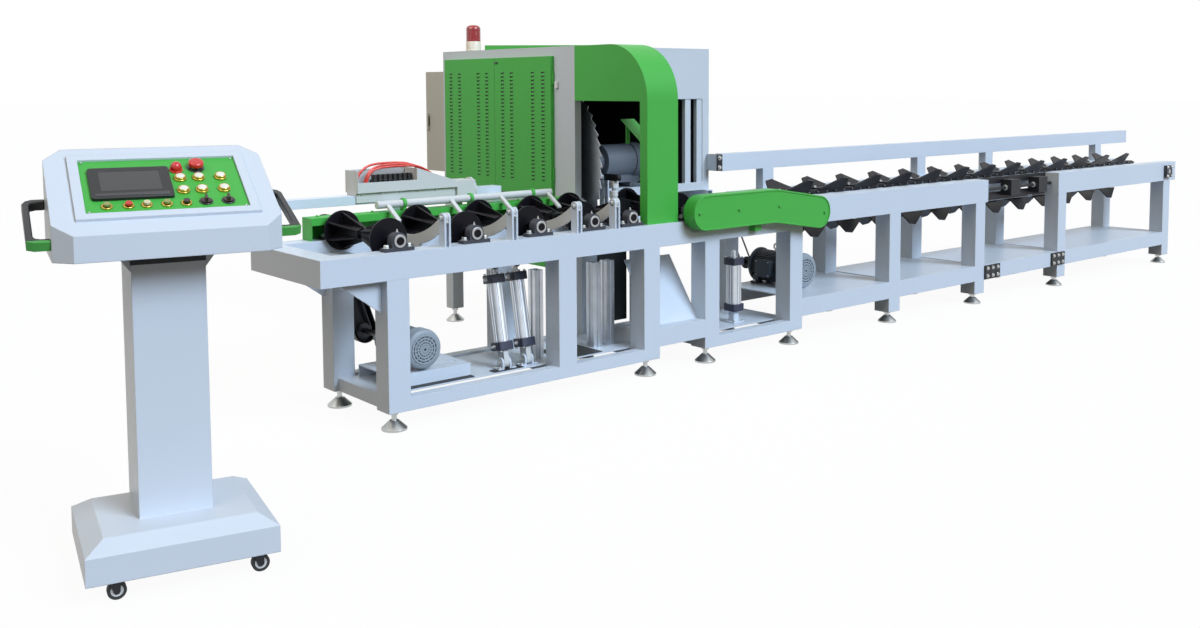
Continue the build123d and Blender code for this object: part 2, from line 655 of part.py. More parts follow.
def main_frame():
    """Welded table frame with its posts, pusher beam and saw base."""
    parts = front_rail()
    back_z = (RAIL_UNDER, RAIL_TOP)
    for span in ((TABLE_LEFT, SLOT[0]), (SLOT[1], TABLE_RIGHT)):
        parts.append(tube("X", span, BACK_RAIL, back_z))
        parts += end_caps(span, BACK_RAIL, back_z)
    parts.append(tube("Y", (TABLE_LEFT, TABLE_LEFT + TUBE), (HALF, BACK_RAIL[0]), back_z))
    for index, x in enumerate(LEG_X):
        wide = around(x, TUBE)
        for y in (FRONT, BACK_LEG):
            parts += leg(wide, y, FRAME_UNDER, RAIL_UNDER)
        cross = (x - LOW_RAIL / 2, x + LOW_RAIL / 2)
        parts.append(tube("Y", cross, (HALF, BACK_LEG[0]), (FRAME_UNDER, LOW_TOP)))
        if index in BEAM_LEGS:
            parts.append(tube("Y", wide, (HALF, BACK_RAIL[0]), (RAIL_UNDER, RAIL_UNDER + BEAM_DEPTH)))
    for index in range(len(LEG_X) - 1):
        bay = (LEG_X[index] + HALF, LEG_X[index + 1] - HALF)
        front_z = LIFTED_RAIL if index == CHUTE_BAY else (FRAME_UNDER, LOW_TOP)
        parts.append(tube("X", bay, (-HALF, -HALF + LOW_RAIL), front_z))
        parts.append(tube("X", bay, (BACK_LEG[1] - LOW_RAIL, BACK_LEG[1]), (FRAME_UNDER, LOW_TOP)))
        floor_y = (HALF, BACK_LEG[0])
        floor_x = (LEG_X[index] + LOW_RAIL / 2, LEG_X[index + 1] - LOW_RAIL / 2)
        parts.append(block(floor_x, floor_y, (LOW_TOP - FLOOR_SHEET, LOW_TOP)))
    drop, reach, thick = GUSSET[1], GUSSET[0], GUSSET[2]
    wing = polygon((-HALF, RAIL_UNDER), (-HALF, RAIL_UNDER - drop), (-HALF - reach, RAIL_UNDER))
    parts.append(slab_xz(wing, around(0, thick)))
    parts.append(slab_xz(wing, around(BASE_DEPTH + HALF / 2, thick)))
    chute_x = (LEG_X[CHUTE_BAY] + HALF, LEG_X[CHUTE_BAY + 1] - HALF)
    chute_y, chute_z = LOW_RAIL - HALF, LIFTED_RAIL[1]
    chute_back, chute_top = BACK_LEG[0] / 2, LIFTED_RAIL[1] + CHUTE_DROP
    chute = polygon((chute_y, chute_z - 2 * SHEET), (chute_back + SHEET, chute_top),
                    (chute_back, chute_top), (chute_y, chute_z))
    parts.append(slab_yz(chute, chute_x))
    for x in ARM_X:
        parts += kicker_post(x)
    return parts + motor_base() + pusher_beam() + saw_base()


def levelling_foot(x, y, underside):
    """Swivel pad, stud and lock nut under one leg."""
    pad = rod("Z", (0, FOOT_PAD), (x, y), FOOT_RADIUS)
    cone_top = FOOT_PAD + FOOT_CONE
    pad += Pos(x, y, FOOT_PAD + FOOT_CONE / 2) * Cone(FOOT_RADIUS, NUT_RADIUS, FOOT_CONE)
    stud = rod("Z", (cone_top, underside), (x, y), STUD_RADIUS)
    nut_face = RegularPolygon(NUT_RADIUS, 6) - Circle(STUD_RADIUS + RUN_FIT)
    nut = extrude(Pos(x, y, underside - NUT_HEIGHT) * nut_face, amount=NUT_HEIGHT)
    return [pad, stud, nut]


def levelling_feet():
    """Feet of the table, the saw base and the conveyor."""
    spots = [(LEG_X[index], y, FRAME_UNDER) for index in BEAM_LEGS for y in (0.0, BASE_DEPTH)]
    spots += [(x, CABINET_Y[1] - SAW_LEG / 2, FRAME_UNDER) for x in saw_leg_x()]
    spots += [(x, y, CONVEYOR_LEG_UNDER) for x in CONVEYOR_LEGS for y in (0.0, BASE_DEPTH)]
    return [solid for spot in spots for solid in levelling_foot(*spot)]


# Roller line

def roller_half(x, disc_low, inward):
    """End disc, hub and tapered fins of one half of a V roller."""
    middle = BACK_RAIL_Y / 2 - inward * MID_GAP / 2
    disc_in = disc_low + DISC_THICK if inward > 0 else disc_low
    hub_span = tuple(sorted((disc_low if inward > 0 else disc_low + DISC_THICK, middle)))
    half = rod("Y", hub_span, (x, AXIS_Z), HUB_RADIUS)
    half += rod("Y", (disc_low, disc_low + DISC_THICK), (x, AXIS_Z), DISC_RADIUS)
    fin = polygon((disc_in, 0), (disc_in, DISC_RADIUS - FIN_NOSE), (middle, HUB_RADIUS + FIN_NOSE), (middle, 0))
    for index in range(FIN_COUNT):
        blade = extrude(Plane.YZ * fin, amount=FIN_THICK / 2, both=True)
        half += Pos(x, 0, AXIS_Z) * Rot(0, index * 360 / FIN_COUNT, 0) * blade
    return half - rod("Y", hub_span, (x, AXIS_Z), SHAFT_RADIUS + RUN_FIT)


def sprocket(x, plane, bore=SHAFT_RADIUS, z=AXIS_Z):
    """Chain wheel on a shaft along Y."""
    return rod("Y", (plane, plane + SPROCKET_THICK), (x, z), SPROCKET_RADIUS, bore + RUN_FIT)


def roller(index):
    """One V roller with its shaft and chain wheels."""
    x = ROLLER_X[index]
    last_infeed = len(ROLLER_X) - 2
    back_end = SPROCKET_PLANES[1] + SPROCKET_THICK + RUN_FIT
    span = [-SHAFT_STUB, back_end]
    wheels = []
    if index == 0:
        span[1] = DRIVE_PLANE[1] + SPROCKET_THICK
        wheels.append(sprocket(x, DRIVE_PLANE[0]))
    if index > last_infeed:
        span = [FRONT_DRIVE[0] - SPROCKET_THICK, BACK_RAIL_Y + SHAFT_STUB]
        wheels.append(sprocket(x, FRONT_DRIVE[0]))
    else:
        planes = SPROCKET_PLANES
        if index == 0:
            planes = planes[:1]
        if index == last_infeed:
            planes = planes[1:] if last_infeed % 2 == 0 else planes[:1]
        wheels += [sprocket(x, plane) for plane in planes]
    shaft = rod("Y", span, (x, AXIS_Z), SHAFT_RADIUS)
    return [shaft, roller_half(x, DISC_FRONT, 1), roller_half(x, DISC_BACK - DISC_THICK, -1)] + wheels


def pillow_block(x, y):
    """Pillow block standing on a rail."""
    depth = around(y, BEARING_BASE[1])
    base = block(around(x, BEARING_BASE[0]), depth, (RAIL_TOP, RAIL_TOP + BEARING_BASE[2]))
    body = base + rod("Y", depth, (x, AXIS_Z), BEARING_RADIUS)
    body += block(around(x, 2 * BEARING_RADIUS), depth, (RAIL_TOP, AXIS_Z))
    return body - rod("Y", depth, (x, AXIS_Z), SHAFT_RADIUS + RUN_FIT)


def flange_bearing(x, y):
    """Square flange unit on the outer face of a conveyor rail."""
    side = FLANGE_BEARING[0]
    unit = block(around(x, side), y, around(CHAIN_AXIS_Z, side))
    return unit - rod("Y", y, (x, CHAIN_AXIS_Z), SHAFT_RADIUS + RUN_FIT)


def roller_bearings():
    """Pillow blocks of the rollers and flange units of the conveyor shafts."""
    units = [pillow_block(x, y) for x in ROLLER_X for y in (0.0, BACK_RAIL_Y)]
    for x in (HEAD_X, TAIL_X):
        units.append(flange_bearing(x, (FLANGE_FACES[0], -HALF)))
        units.append(flange_bearing(x, (BACK_LEG[1], FLANGE_FACES[1])))
    return units


def roller_chain_guard():
    """Green channel over the back bearings and roller chain, with the ejector's brackets."""
    x = GUARD_SPAN
    back = BACK_RAIL[1]
    cover = block(x, (GUARD_FRONT_Y, back), (GUARD_TOP - SHEET, GUARD_TOP))
    cover += block(x, (back - SHEET, back), (RAIL_TOP, GUARD_TOP))
    cover += block(x, (GUARD_FRONT_Y, GUARD_FRONT_Y + SHEET), (GUARD_TOP - GUARD_LIP, GUARD_TOP))
    for low in (x[0], x[1] - SHEET):
        cover += block((low, low + SHEET), (GUARD_FRONT_Y, back), (RAIL_TOP, GUARD_TOP))
    cover -= rod("Y", (back - SHEET, back), (ROLLER_X[0], AXIS_Z), SHAFT_RADIUS + HOLE_GAP)
    parts = [cover]
    width = 2 * EJECT_RADIUS
    for x_mid in EJECT_BRACKETS:
        span = around(x_mid, BRACKET_THICK)
        ear = block(span, around(EJECT_POS[0], width), (GUARD_TOP, EJECT_POS[1]))
        ear += rod("X", span, EJECT_POS, EJECT_RADIUS + BRACKET_THICK / 2)
        ear -= rod("X", span, EJECT_POS, EJECT_RADIUS + RUN_FIT)
        parts.append(ear)
    return parts


def guard_outline(half):
    """Bent round-ended outline of the drive guard in (X, Z)."""
    left = (LOBE_X, AXIS_Z)
    right = (HEAD_X, CHAIN_AXIS_Z)
    return slot_face(left, DRIVE_GUARD_BEND, half) + slot_face(DRIVE_GUARD_BEND, right, half)


def drive_chain_guard():
    """Bent green guard in front of the outfeed drive, open at the back, on a bracket."""
    back = -HALF - DRIVE_GUARD_GAP
    outside = (back - DRIVE_GUARD_DEPTH, back)
    shell = slab_xz(guard_outline(DRIVE_GUARD_HALF), outside)
    shell -= slab_xz(guard_outline(DRIVE_GUARD_HALF - SHEET), (outside[0] + SHEET, back))
    floor = DRIVE_GUARD_BEND[1] - DRIVE_GUARD_HALF
    bracket_x = around(DRIVE_GUARD_BEND[0] - TUBE, HALF)
    bracket = block(bracket_x, (back - DRIVE_GUARD_DEPTH / 2, -HALF), (RAIL_UNDER + LOW_RAIL / 2, floor))
    return [shell, bracket - slab_xz(guard_outline(DRIVE_GUARD_HALF), outside)]


def drive_chains():
    """Roller chains of the infeed line and both drives."""
    loops = []
    for index in range(len(ROLLER_X) - 2):
        plane = SPROCKET_PLANES[index % 2]
        start, end = (ROLLER_X[index], AXIS_Z), (ROLLER_X[index + 1], AXIS_Z)
        loops.append(chain_loop(start, end, SPROCKET_RADIUS, (plane, plane + SPROCKET_THICK)))
    loops.append(chain_loop(INFEED_MOTOR_POS, (ROLLER_X[0], AXIS_Z), SPROCKET_RADIUS, DRIVE_PLANE))
    loops.append(chain_loop(OUTFEED_MOTOR_POS, (HEAD_X, CHAIN_AXIS_Z), SPROCKET_RADIUS, OUT_DRIVE_PLANE))
    front = (ROLLER_X[-1], AXIS_Z), (HEAD_X, CHAIN_AXIS_Z)
    loops.append(chain_loop(*front, SPROCKET_RADIUS, FRONT_DRIVE))
    return loops


# Drives

def motor(place, radius, y, floor, tilt):
    """Foot-mounted motor along Y: body, fan cowl at the front, terminal box tilted up, feet, shaft bore."""
    x, z = place
    body = rod("Y", (y[0] + COWL_LENGTH, y[1]), place, radius)
    cowl = rod("Y", (y[0], y[0] + COWL_LENGTH), place, radius + COWL_STEP)
    foot_y = (y[0] + COWL_LENGTH + MOTOR_FOOT, y[1] - MOTOR_FOOT)
    feet = block(around(x, 2 * radius - MOTOR_FOOT), foot_y, (floor, z))
    side_x = (-radius - TERMINAL_BOX[0] / 2, -radius / 2)
    box_y = around((y[0] + COWL_LENGTH + y[1]) / 2, TERMINAL_BOX[1])
    terminal = Pos(x, 0, z) * Rot(0, tilt, 0) * block(side_x, box_y, around(0, TERMINAL_BOX[2]))
    whole = body + cowl + feet + terminal
    return [whole - rod("Y", (y[1] - COWL_LENGTH, y[1]), place, MOTOR_SHAFT_RADIUS + RUN_FIT)]


def motor_sprocket(place, y_start, plane):
    """Motor shaft with its chain wheel."""
    shaft = rod("Y", (y_start - COWL_LENGTH + SEAT, plane[1]), place, MOTOR_SHAFT_RADIUS)
    wheel = rod("Y", plane, place, SPROCKET_RADIUS, MOTOR_SHAFT_RADIUS)
    return [shaft + wheel]


def infeed_drive_guard():
    """Black case round the infeed drive chain, open towards the table."""
    start, end = INFEED_MOTOR_POS, (ROLLER_X[0], AXIS_Z)
    case = slab_xz(slot_face(start, end, SIDE_GUARD_HALF), SIDE_GUARD_Y)
    hollow = slot_face(start, end, SIDE_GUARD_HALF - SHEET)
    case -= slab_xz(hollow, (SIDE_GUARD_Y[0], SIDE_GUARD_Y[1] - SHEET))
    strap_z = (RAIL_UNDER + LOW_RAIL / 2, RAIL_UNDER + LOW_RAIL)
    share = (AXIS_Z - strap_z[0]) / (AXIS_Z - INFEED_MOTOR_POS[1])
    middle = ROLLER_X[0] + (INFEED_MOTOR_POS[0] - ROLLER_X[0]) * share
    strap_x = (middle + SIDE_GUARD_HALF - SHEET, middle + TUBE)
    return [case + block(strap_x, (BACK_RAIL[1], SIDE_GUARD_Y[0] + SHEET), strap_z)]


# Kicker, ejector and pusher

def arm_outline():
    """Cradle-shaped kicker arm in (Y, Z), with its lug down to the torque tube."""
    low = RAIL_TOP + ARM_TIP_RISE
    high = low + ARM_DEPTH
    heel = (PIN_POS[0] - LUG_HALF, PIN_POS[1] - ARM_HEEL[0])
    crown = (PIN_POS[0] + ARM_NECK, PIN_POS[1] + ARM_HEEL[1])
    under = ThreePointArc(heel, (ARM_BELLY[0], low - ARM_BELLY[1]), (ARM_TIP_Y, low))
    over = ThreePointArc((ARM_TIP_Y, high), (ARM_SADDLE[0], high + ARM_SADDLE[1]), crown)
    face = make_face([under, Line(under @ 1, over @ 0), over, Line(over @ 1, under @ 0)])
    face += Pos(*PIN_POS) * Circle(ARM_EYE)
    lug_y = around(TORQUE_POS[0], 2 * LUG_HALF)
    lug_top = low + LUG_RISE
    face += polygon((lug_y[0], TORQUE_POS[1]), (lug_y[1], TORQUE_POS[1]), (lug_y[1], lug_top), (lug_y[0], lug_top))
    face += Pos(*TORQUE_POS) * Circle(LUG_HALF)
    return face - Pos(*PIN_POS) * Circle(PIN_RADIUS + RUN_FIT)


def kicker_arms():
    """Four cradle arms welded to one torque tube."""
    hole = Pos(*TORQUE_POS) * Circle(TORQUE_RADIUS)
    outline = arm_outline() - hole
    arms = [slab_yz(outline, around(x, ARM_THICK)) for x in ARM_X]
    torque = rod("X", (ARM_X[0] - ARM_THICK, ARM_X[-1] + ARM_THICK), TORQUE_POS, TORQUE_RADIUS)
    return arms + [torque]


def along_kick(shape, x):
    """Put a piece that was drawn up the Z axis along the leaning cylinder at x."""
    return Pos(x, *KICK_BASE) * Rot(-KICK_LEAN, 0, 0) * shape


def kicker_cylinders():
    """Two leaning air cylinders with their end caps and foot tongues."""
    parts = []
    start, end = BARREL_START, BARREL_START + BARREL_LENGTH
    bore = KICK_ROD + RUN_FIT
    for x in KICK_X:
        tongue = rod("X", around(0, EYE_WIDTH), (0, 0), LUG_HALF)
        tongue += block(around(0, EYE_WIDTH), around(0, 2 * LUG_HALF), (0, start))
        tongue -= rod("X", around(0, EYE_WIDTH), (0, 0), PIN_RADIUS + RUN_FIT)
        low_cap = block(around(0, BARREL_CAP), around(0, BARREL_CAP), (start, start + CAP_LENGTH))
        barrel = rod("Z", (start + CAP_LENGTH, end - CAP_LENGTH), (0, 0), BARREL / 2, BARREL_BORE)
        top_cap = block(around(0, BARREL_CAP), around(0, BARREL_CAP), (end - CAP_LENGTH, end))
        top_cap -= rod("Z", (end - CAP_LENGTH, end), (0, 0), bore)
        parts += [along_kick(piece, x) for piece in (tongue + low_cap, barrel, top_cap)]
    return parts


def kicker_rods():
    """Piston rods with open eyes round the torque tube."""
    parts = []
    start = BARREL_START + CAP_LENGTH + SEAT
    hole = TORQUE_RADIUS + EYE_PLAY
    for x in KICK_X:
        rod_piece = rod("Z", (start, KICK_REACH - hole), (0, 0), KICK_ROD)
        eye = rod("X", around(0, EYE_WIDTH), (0, KICK_REACH), hole + EYE_WALL)
        rod_piece += eye
        rod_piece -= rod("X", around(0, EYE_WIDTH), (0, KICK_REACH), hole)
        parts.append(along_kick(rod_piece, x))
    return parts


def kicker_clevises():
    """Forked feet on the low rail, with the pins the kicker cylinders swing on."""
    parts = []
    half = EYE_WIDTH / 2 + POST_GAP
    for x in KICK_X:
        cheeks = []
        for side in (-1, 1):
            span = tuple(sorted((x + side * half, x + side * (half + POST_PLATE))))
            cheek = block(span, around(KICK_BASE[0], 2 * LUG_HALF), (LOW_TOP, KICK_BASE[1] + LUG_HALF))
            cheeks.append(cheek - rod("X", span, KICK_BASE, PIN_RADIUS + RUN_FIT))
        pin = rod("X", around(x, 2 * (half + POST_PLATE)), KICK_BASE, PIN_RADIUS)
        parts += cheeks + [pin]
    return parts


def ejector_shaft():
    """Torque tube with four flat bent fingers."""
    shaft = rod("X", EJECT_SPAN, EJECT_POS, EJECT_RADIUS)
    angle = math.atan2(EJECT_POS[1] - FINGER_TIP[1], EJECT_POS[0] - FINGER_TIP[0])
    lift = (math.sin(angle) * -FINGER_THICK, math.cos(angle) * FINGER_THICK)
    finger = polygon(EJECT_POS, FINGER_TIP, (FINGER_TIP[0] + lift[0], FINGER_TIP[1] + lift[1]),
                     (EJECT_POS[0] + lift[0], EJECT_POS[1] + lift[1]))
    for x in FINGER_X:
        shaft += slab_yz(finger, around(x, FINGER_WIDTH))
    return [shaft]


def pusher_carriage():
    """Log pusher: saddle on the beam, open hose housing, end box, flange and the hose unions."""
    deck = PUSHER_DECK
    x = (PUSHER_X, PUSHER_X + PUSHER_LENGTH)
    wide = (BEAM_Y[0] - SEAT - PUSHER_CHEEK, BEAM_Y[1] + SEAT + PUSHER_CHEEK)
    saddle = block(x, wide, (deck - PUSHER_PLATE, deck))
    for low in (wide[0], wide[1] - PUSHER_CHEEK):
        saddle += block(x, (low, low + PUSHER_CHEEK), (BEAM_Z[0] + PUSHER_CHEEK, deck - PUSHER_PLATE))
    house_x = (x[0], x[0] + HOUSING[0])
    house_y = around(BEAM_MID, HOUSING[1])
    house_top = deck + HOUSING[2]
    inner_x = (house_x[0] + SHEET, house_x[1] - SHEET)
    house = block(house_x, house_y, (deck, house_top))
    house -= block(inner_x, (house_y[0] + SHEET, house_y[1] - SHEET), (deck + SHEET, house_top))
    house -= block(inner_x, (house_y[0], house_y[0] + SHEET), (deck + HOUSING_FRONT, house_top))
    box_x = (x[1] - END_BOX[0], x[1])
    box_top = deck + END_BOX[2]
    box = block(box_x, around(BEAM_MID, END_BOX[1]), (deck, box_top))
    apron_y = (BEAM_MID - END_BOX[1] / 2, wide[0])
    box += block(box_x, apron_y, (BEAM_Z[0] + PUSHER_CHEEK, deck))
    ramp = polygon((house_x[1], deck), (box_x[0], deck), (box_x[0], box_top), (house_x[1], house_top))
    cover = slab_xz(ramp, house_y)
    cover -= block((house_x[1] + SHEET, box_x[0]), (house_y[0] + SHEET, house_y[1] - SHEET),
                   (deck + SHEET, house_top))
    flange_x = (x[1], x[1] + POST_PLATE)
    flange_z = BEAM_Z[1] - FLANGE_DROP
    flange = rod("X", flange_x, (BEAM_MID, flange_z), FLANGE_RADIUS)
    low = (flange_z - FLANGE_RADIUS, BEAM_Z[0] + PUSHER_CHEEK)
    flange -= block(flange_x, around(BEAM_MID, 2 * FLANGE_RADIUS), low)
    flange -= block(flange_x, (BEAM_Y[0] - SEAT, BEAM_Y[1] + SEAT), (low[0], BEAM_Z[1] + SEAT))
    parts = [saddle, house, cover, box, flange]
    for points in hose_routes():
        first, last = points[0], points[-1]
        parts.append(rod("Z", (first[2] - UNION[1], first[2]), first[:2], UNION[0]))
        parts.append(rod("X", (last[0], last[0] + UNION[1]), last[1:], UNION[0]))
    return parts


def hose_routes():
    """Points that each red hose runs through, from its floor union to the union in the end box."""
    floor = PUSHER_DECK + SHEET
    crest = PUSHER_DECK + HOUSING[2]
    box_x = PUSHER_X + PUSHER_LENGTH - END_BOX[0]
    entry = PUSHER_DECK + END_BOX[2] - HOSE_DROP
    routes = []
    for side, offset_x, rise in zip(HOSE_SIDES, HOSE_STARTS, HOSE_RISES):
        x = PUSHER_X + offset_x
        y = BEAM_MID + side
        routes.append([
            (x, y, floor + UNION[1]),
            (x, y, floor + 50),
            (x + 30, y + 3, crest - 6),
            (x + 90, y + 5, crest + 12 + rise),
            (box_x - 300, y + 1, crest + 14 + rise),
            (box_x - 215, y - 4, crest + 10 + rise / 2),
            (box_x - 110, y - 2, crest - 54),
            (box_x - 55, y, entry),
            (box_x - UNION[1], y, entry),
        ])
    return routes


def hose(points, radius):
    """Hose on straight runs and large tangent arcs through hand-picked points."""
    vectors = [Vector(*point) for point in points]
    radii = []
    for before, here, after in zip(vectors, vectors[1:], vectors[2:]):
        turn = (here - before).get_angle(after - here)
        shorter = min((here - before).length, (after - here).length)
        radii.append(0.45 * shorter / math.tan(math.radians(turn / 2)))
    path = FilletPolyline(*vectors, radius=radii)
    start = Plane(origin=path @ 0, z_dir=path % 0)
    print("hose radii", [round(value) for value in radii], "length", round(path.length))
    return sweep(start * Circle(radius), path=path)


def air_hoses():
    """Red air hoses from the housing's floor over the ramp to the end box."""
    return [hose(points, HOSE_RADIUS) for points in hose_routes()]


# Saw unit

def saw_carriage():
    """Sliding plate with its bearers, spindle cartridge on saddles and the motor."""
    y, z = SPINDLE_POS
    plate = block(PLATE_X, PLATE_Y, (PLATE_Z, PLATE_Z + PLATE_THICK))
    parts = [plate]
    for x in RAIL_X:
        for y_mid in (PLATE_Y[0] + BEARER[1] / 2, PLATE_Y[1] - BEARER[1] / 2):
            deep = around(y_mid, BEARER[1])
            bearer = block(around(x, BEARER[0]), deep, (CABINET_DECK + BEARER_LIFT, PLATE_Z))
            groove = block(around(x, RAIL_SIZE[0] + 2 * SEAT), deep, (CABINET_DECK, RAIL_DECK + SEAT))
            parts.append(bearer - groove)
    cartridge = rod("X", CARTRIDGE_SPAN, SPINDLE_POS, CARTRIDGE_RADIUS)
    for x in (PLATE_X[0] + SADDLE[0] / 2, CARTRIDGE_SPAN[1] - SADDLE[0]):
        cartridge += block(around(x, SADDLE[0]), around(y, SADDLE[1]), (PLATE_Z + PLATE_THICK, z))
    bore = SPINDLE_RADIUS + RUN_FIT
    cartridge -= rod("X", CARTRIDGE_SPAN, SPINDLE_POS, bore)
    start, end = SAW_MOTOR_SPAN
    body = rod("X", (start, end - COWL_LENGTH), SPINDLE_POS, SAW_MOTOR_RADIUS - COWL_STEP)
    body += rod("X", (end - COWL_LENGTH, end), SPINDLE_POS, SAW_MOTOR_RADIUS)
    foot_x = (start + COWL_LENGTH, end - COWL_STEP)
    body += block(foot_x, around(y, SAW_MOTOR_RADIUS), (PLATE_Z + PLATE_THICK, z))
    body -= rod("X", (start, end - COWL_LENGTH), SPINDLE_POS, bore)
    return parts + [cartridge, body]


def saw_spindle():
    """Arbor with the inner flange, outer flange and nut."""
    inner = (BLADE_X + BLADE_THICK / 2, BLADE_X + BLADE_THICK / 2 + CLAMP_DISC_THICK)
    outer = (BLADE_X - BLADE_THICK / 2 - CLAMP_DISC_THICK, BLADE_X - BLADE_THICK / 2)
    end = SAW_MOTOR_SPAN[1] - 2 * COWL_LENGTH
    arbor = rod("X", (outer[0] - CLAMP_DISC_THICK, end), SPINDLE_POS, SPINDLE_RADIUS)
    arbor += rod("X", inner, SPINDLE_POS, CLAMP_DISC)
    cap = rod("X", outer, SPINDLE_POS, CLAMP_DISC, SPINDLE_RADIUS + RUN_FIT)
    nut_face = RegularPolygon(SPINDLE_NUT, 6) - Circle(SPINDLE_RADIUS + RUN_FIT)
    nut_plane = Plane(origin=(outer[0], *SPINDLE_POS), z_dir=(-1, 0, 0))
    return [arbor, cap, extrude(nut_plane * nut_face, amount=CLAMP_DISC_THICK)]


def saw_blade():
    """Toothed disc on the arbor."""
    y, z = SPINDLE_POS
    points = []
    step = 2 * math.pi / TOOTH_COUNT
    root = BLADE_RADIUS - TOOTH_DEPTH
    for index in range(TOOTH_COUNT):
        for radius, turn in ((root, 0.0), (BLADE_RADIUS, TOOTH_TIP), (root, TOOTH_FACE)):
            angle = (index + turn) * step
            points.append((y + radius * math.cos(angle), z + radius * math.sin(angle)))
    face = polygon(*points) - Pos(y, z) * Circle(SPINDLE_RADIUS + RUN_FIT)
    return [slab_yz(face, around(BLADE_X, BLADE_THICK))]


def cabinet_walls():
    """Sheet walls, roof and slotted floor of the saw cabinet."""
    (x0, x1), (y0, y1), (z0, z1) = CABINET_X, CABINET_Y, CABINET_Z
    roof = z1 - CABINET_FLOOR
    deck = CABINET_DECK
    inner_y = (y0 + SHEET, y1 - SHEET)
    return [
        block((x0, SLOT[0]), (y0, y1), (z0, deck)),
        block((SLOT[1], x1), (y0, y1), (z0, deck)),
        block((x0, x1), (y0, y1), (roof, z1)),
        block((x0, x1), (y1 - SHEET, y1), (deck, roof)),
        block((x1 - SHEET, x1), inner_y, (deck, roof)),
        block((x0, x0 + SHEET), (y0 + SHEET, DOOR_Y[0]), (deck, roof)),
        block((x0, x0 + SHEET), (DOOR_Y[1], inner_y[1]), (deck, roof)),
        block((x0, x0 + SHEET), DOOR_Y, (DOOR_Z[1], roof)),
        block((x0, x0 + FRONT_STRIP), (y0, y0 + SHEET), (deck, roof)),
        block((PORTAL_X[1], x1), (y0, y0 + SHEET), (deck, roof)),
        block(PORTAL_X, (y0, y0 + SHEET), (PORTAL_Z[1], roof)),
        block(PORTAL_X, (y0, y0 + SHEET), (deck, PORTAL_Z[0])),
    ]


def saw_cabinet():
    """Cabinet with its portal posts and the carriage's guide rails."""
    parts = cabinet_walls()
    post_y = (CABINET_Y[0] + SHEET, CABINET_Y[0] + SHEET + PORTAL_POST[1])
    post_z = (CABINET_DECK, CABINET_Z[1] - CABINET_FLOOR)
    for inset in PORTAL_POSTS:
        parts.append(block(around(PORTAL_X[1] - inset, PORTAL_POST[0]), post_y, post_z))
    rail_y = (CABINET_Y[0] + 2 * PORTAL_POST[1], CABINET_Y[1] - 2 * PORTAL_POST[1])
    for x in RAIL_X:
        parts.append(block(around(x, RAIL_SIZE[0]), rail_y, (CABINET_DECK, RAIL_DECK)))
    return parts


def cabinet_door(low, high, hinge_at_low):
    """Louvred pan door on the cabinet's infeed side, with its hinge knuckles."""
    width = high - low
    rise = (DOOR_Z[1] - DOOR_Z[0] - 2 * LOUVRE_MARGIN) / (LOUVRE_ROWS - 1)
    columns = LOUVRE_COLUMNS if hinge_at_low else tuple(1 - share for share in LOUVRE_COLUMNS)
    face = Pos((low + high) / 2, sum(DOOR_Z) / 2) * Rectangle(width, DOOR_Z[1] - DOOR_Z[0])
    slots = [Pos(low + width * share, DOOR_Z[0] + LOUVRE_MARGIN + rise * row) * Rectangle(*LOUVRE_SIZE)
             for share in columns for row in range(LOUVRE_ROWS)]
    skin = (DOOR_FACE, DOOR_FACE + DOOR_SKIN)
    leaf = slab_yz(face - slots, skin)
    rim = block((skin[1], CABINET_X[0] - SEAT), (low, high), DOOR_Z)
    rim -= block((skin[1], CABINET_X[0] - SEAT), (low + DOOR_SKIN, high - DOOR_SKIN),
                 (DOOR_Z[0] + DOOR_SKIN, DOOR_Z[1] - DOOR_SKIN))
    leaf += rim
    edge = low if hinge_at_low else high
    for z in (DOOR_Z[0] + LOUVRE_MARGIN, DOOR_Z[1] - LOUVRE_MARGIN - HINGE_LENGTH):
        leaf += rod("Z", (z, z + HINGE_LENGTH), (HINGE_X, edge), HINGE_RADIUS)
    return [leaf]


def arch_outline():
    """Outline of the hood in (Y, Z): a leg on the front rail and a beam back to the cabinet."""
    front, back, top = HOOD_SETBACK - HALF, CABINET_Y[0], CABINET_Z[1]
    inner = front + HOOD_LEG
    face = polygon((front, RAIL_TOP), (front, top), (back, top), (back, HOOD_UNDER), (inner, HOOD_UNDER),
                   (inner, RAIL_TOP))
    corners = face.vertices()
    outer = corners.sort_by_distance((front, top, 0))[0]
    face = fillet(outer, HOOD_CORNER)
    bend = face.vertices().sort_by_distance((inner, HOOD_UNDER, 0))[0]
    return fillet(bend, HOOD_INNER_CORNER)


def arch_hood():
    """Arched sheet hood with a slot for the blade, its roof strip and the lower blade guard."""
    outline = arch_outline()
    hood = slab_yz(outline, HOOD_X)
    inner_x = (HOOD_X[0] + SHEET, HOOD_X[1] - SHEET)
    hood -= slab_yz(offset(outline, amount=-SHEET), inner_x)
    mouth = (HOOD_UNDER + SHEET, CABINET_Z[1] - SHEET)
    hood -= block(inner_x, (CABINET_Y[0] - SHEET, CABINET_Y[0]), mouth)
    hood -= block(SLOT, (HOOD_SLOT_START, CABINET_Y[0]), (HOOD_UNDER, HOOD_UNDER + SHEET))
    low, high = CABINET_Z[1] + ROOF_STRIP[0], CABINET_Z[1] + ROOF_STRIP[1]
    wedge = polygon((CABINET_Y[0], CABINET_Z[1]), (ROOF_STRIP_END, CABINET_Z[1]), (ROOF_STRIP_END, high),
                    (CABINET_Y[0], low))
    strip = slab_yz(wedge, (HOOD_X[0] + ROOF_STRIP_INSET, HOOD_X[1]))
    return [hood, strip, deflector(), lower_guard()]


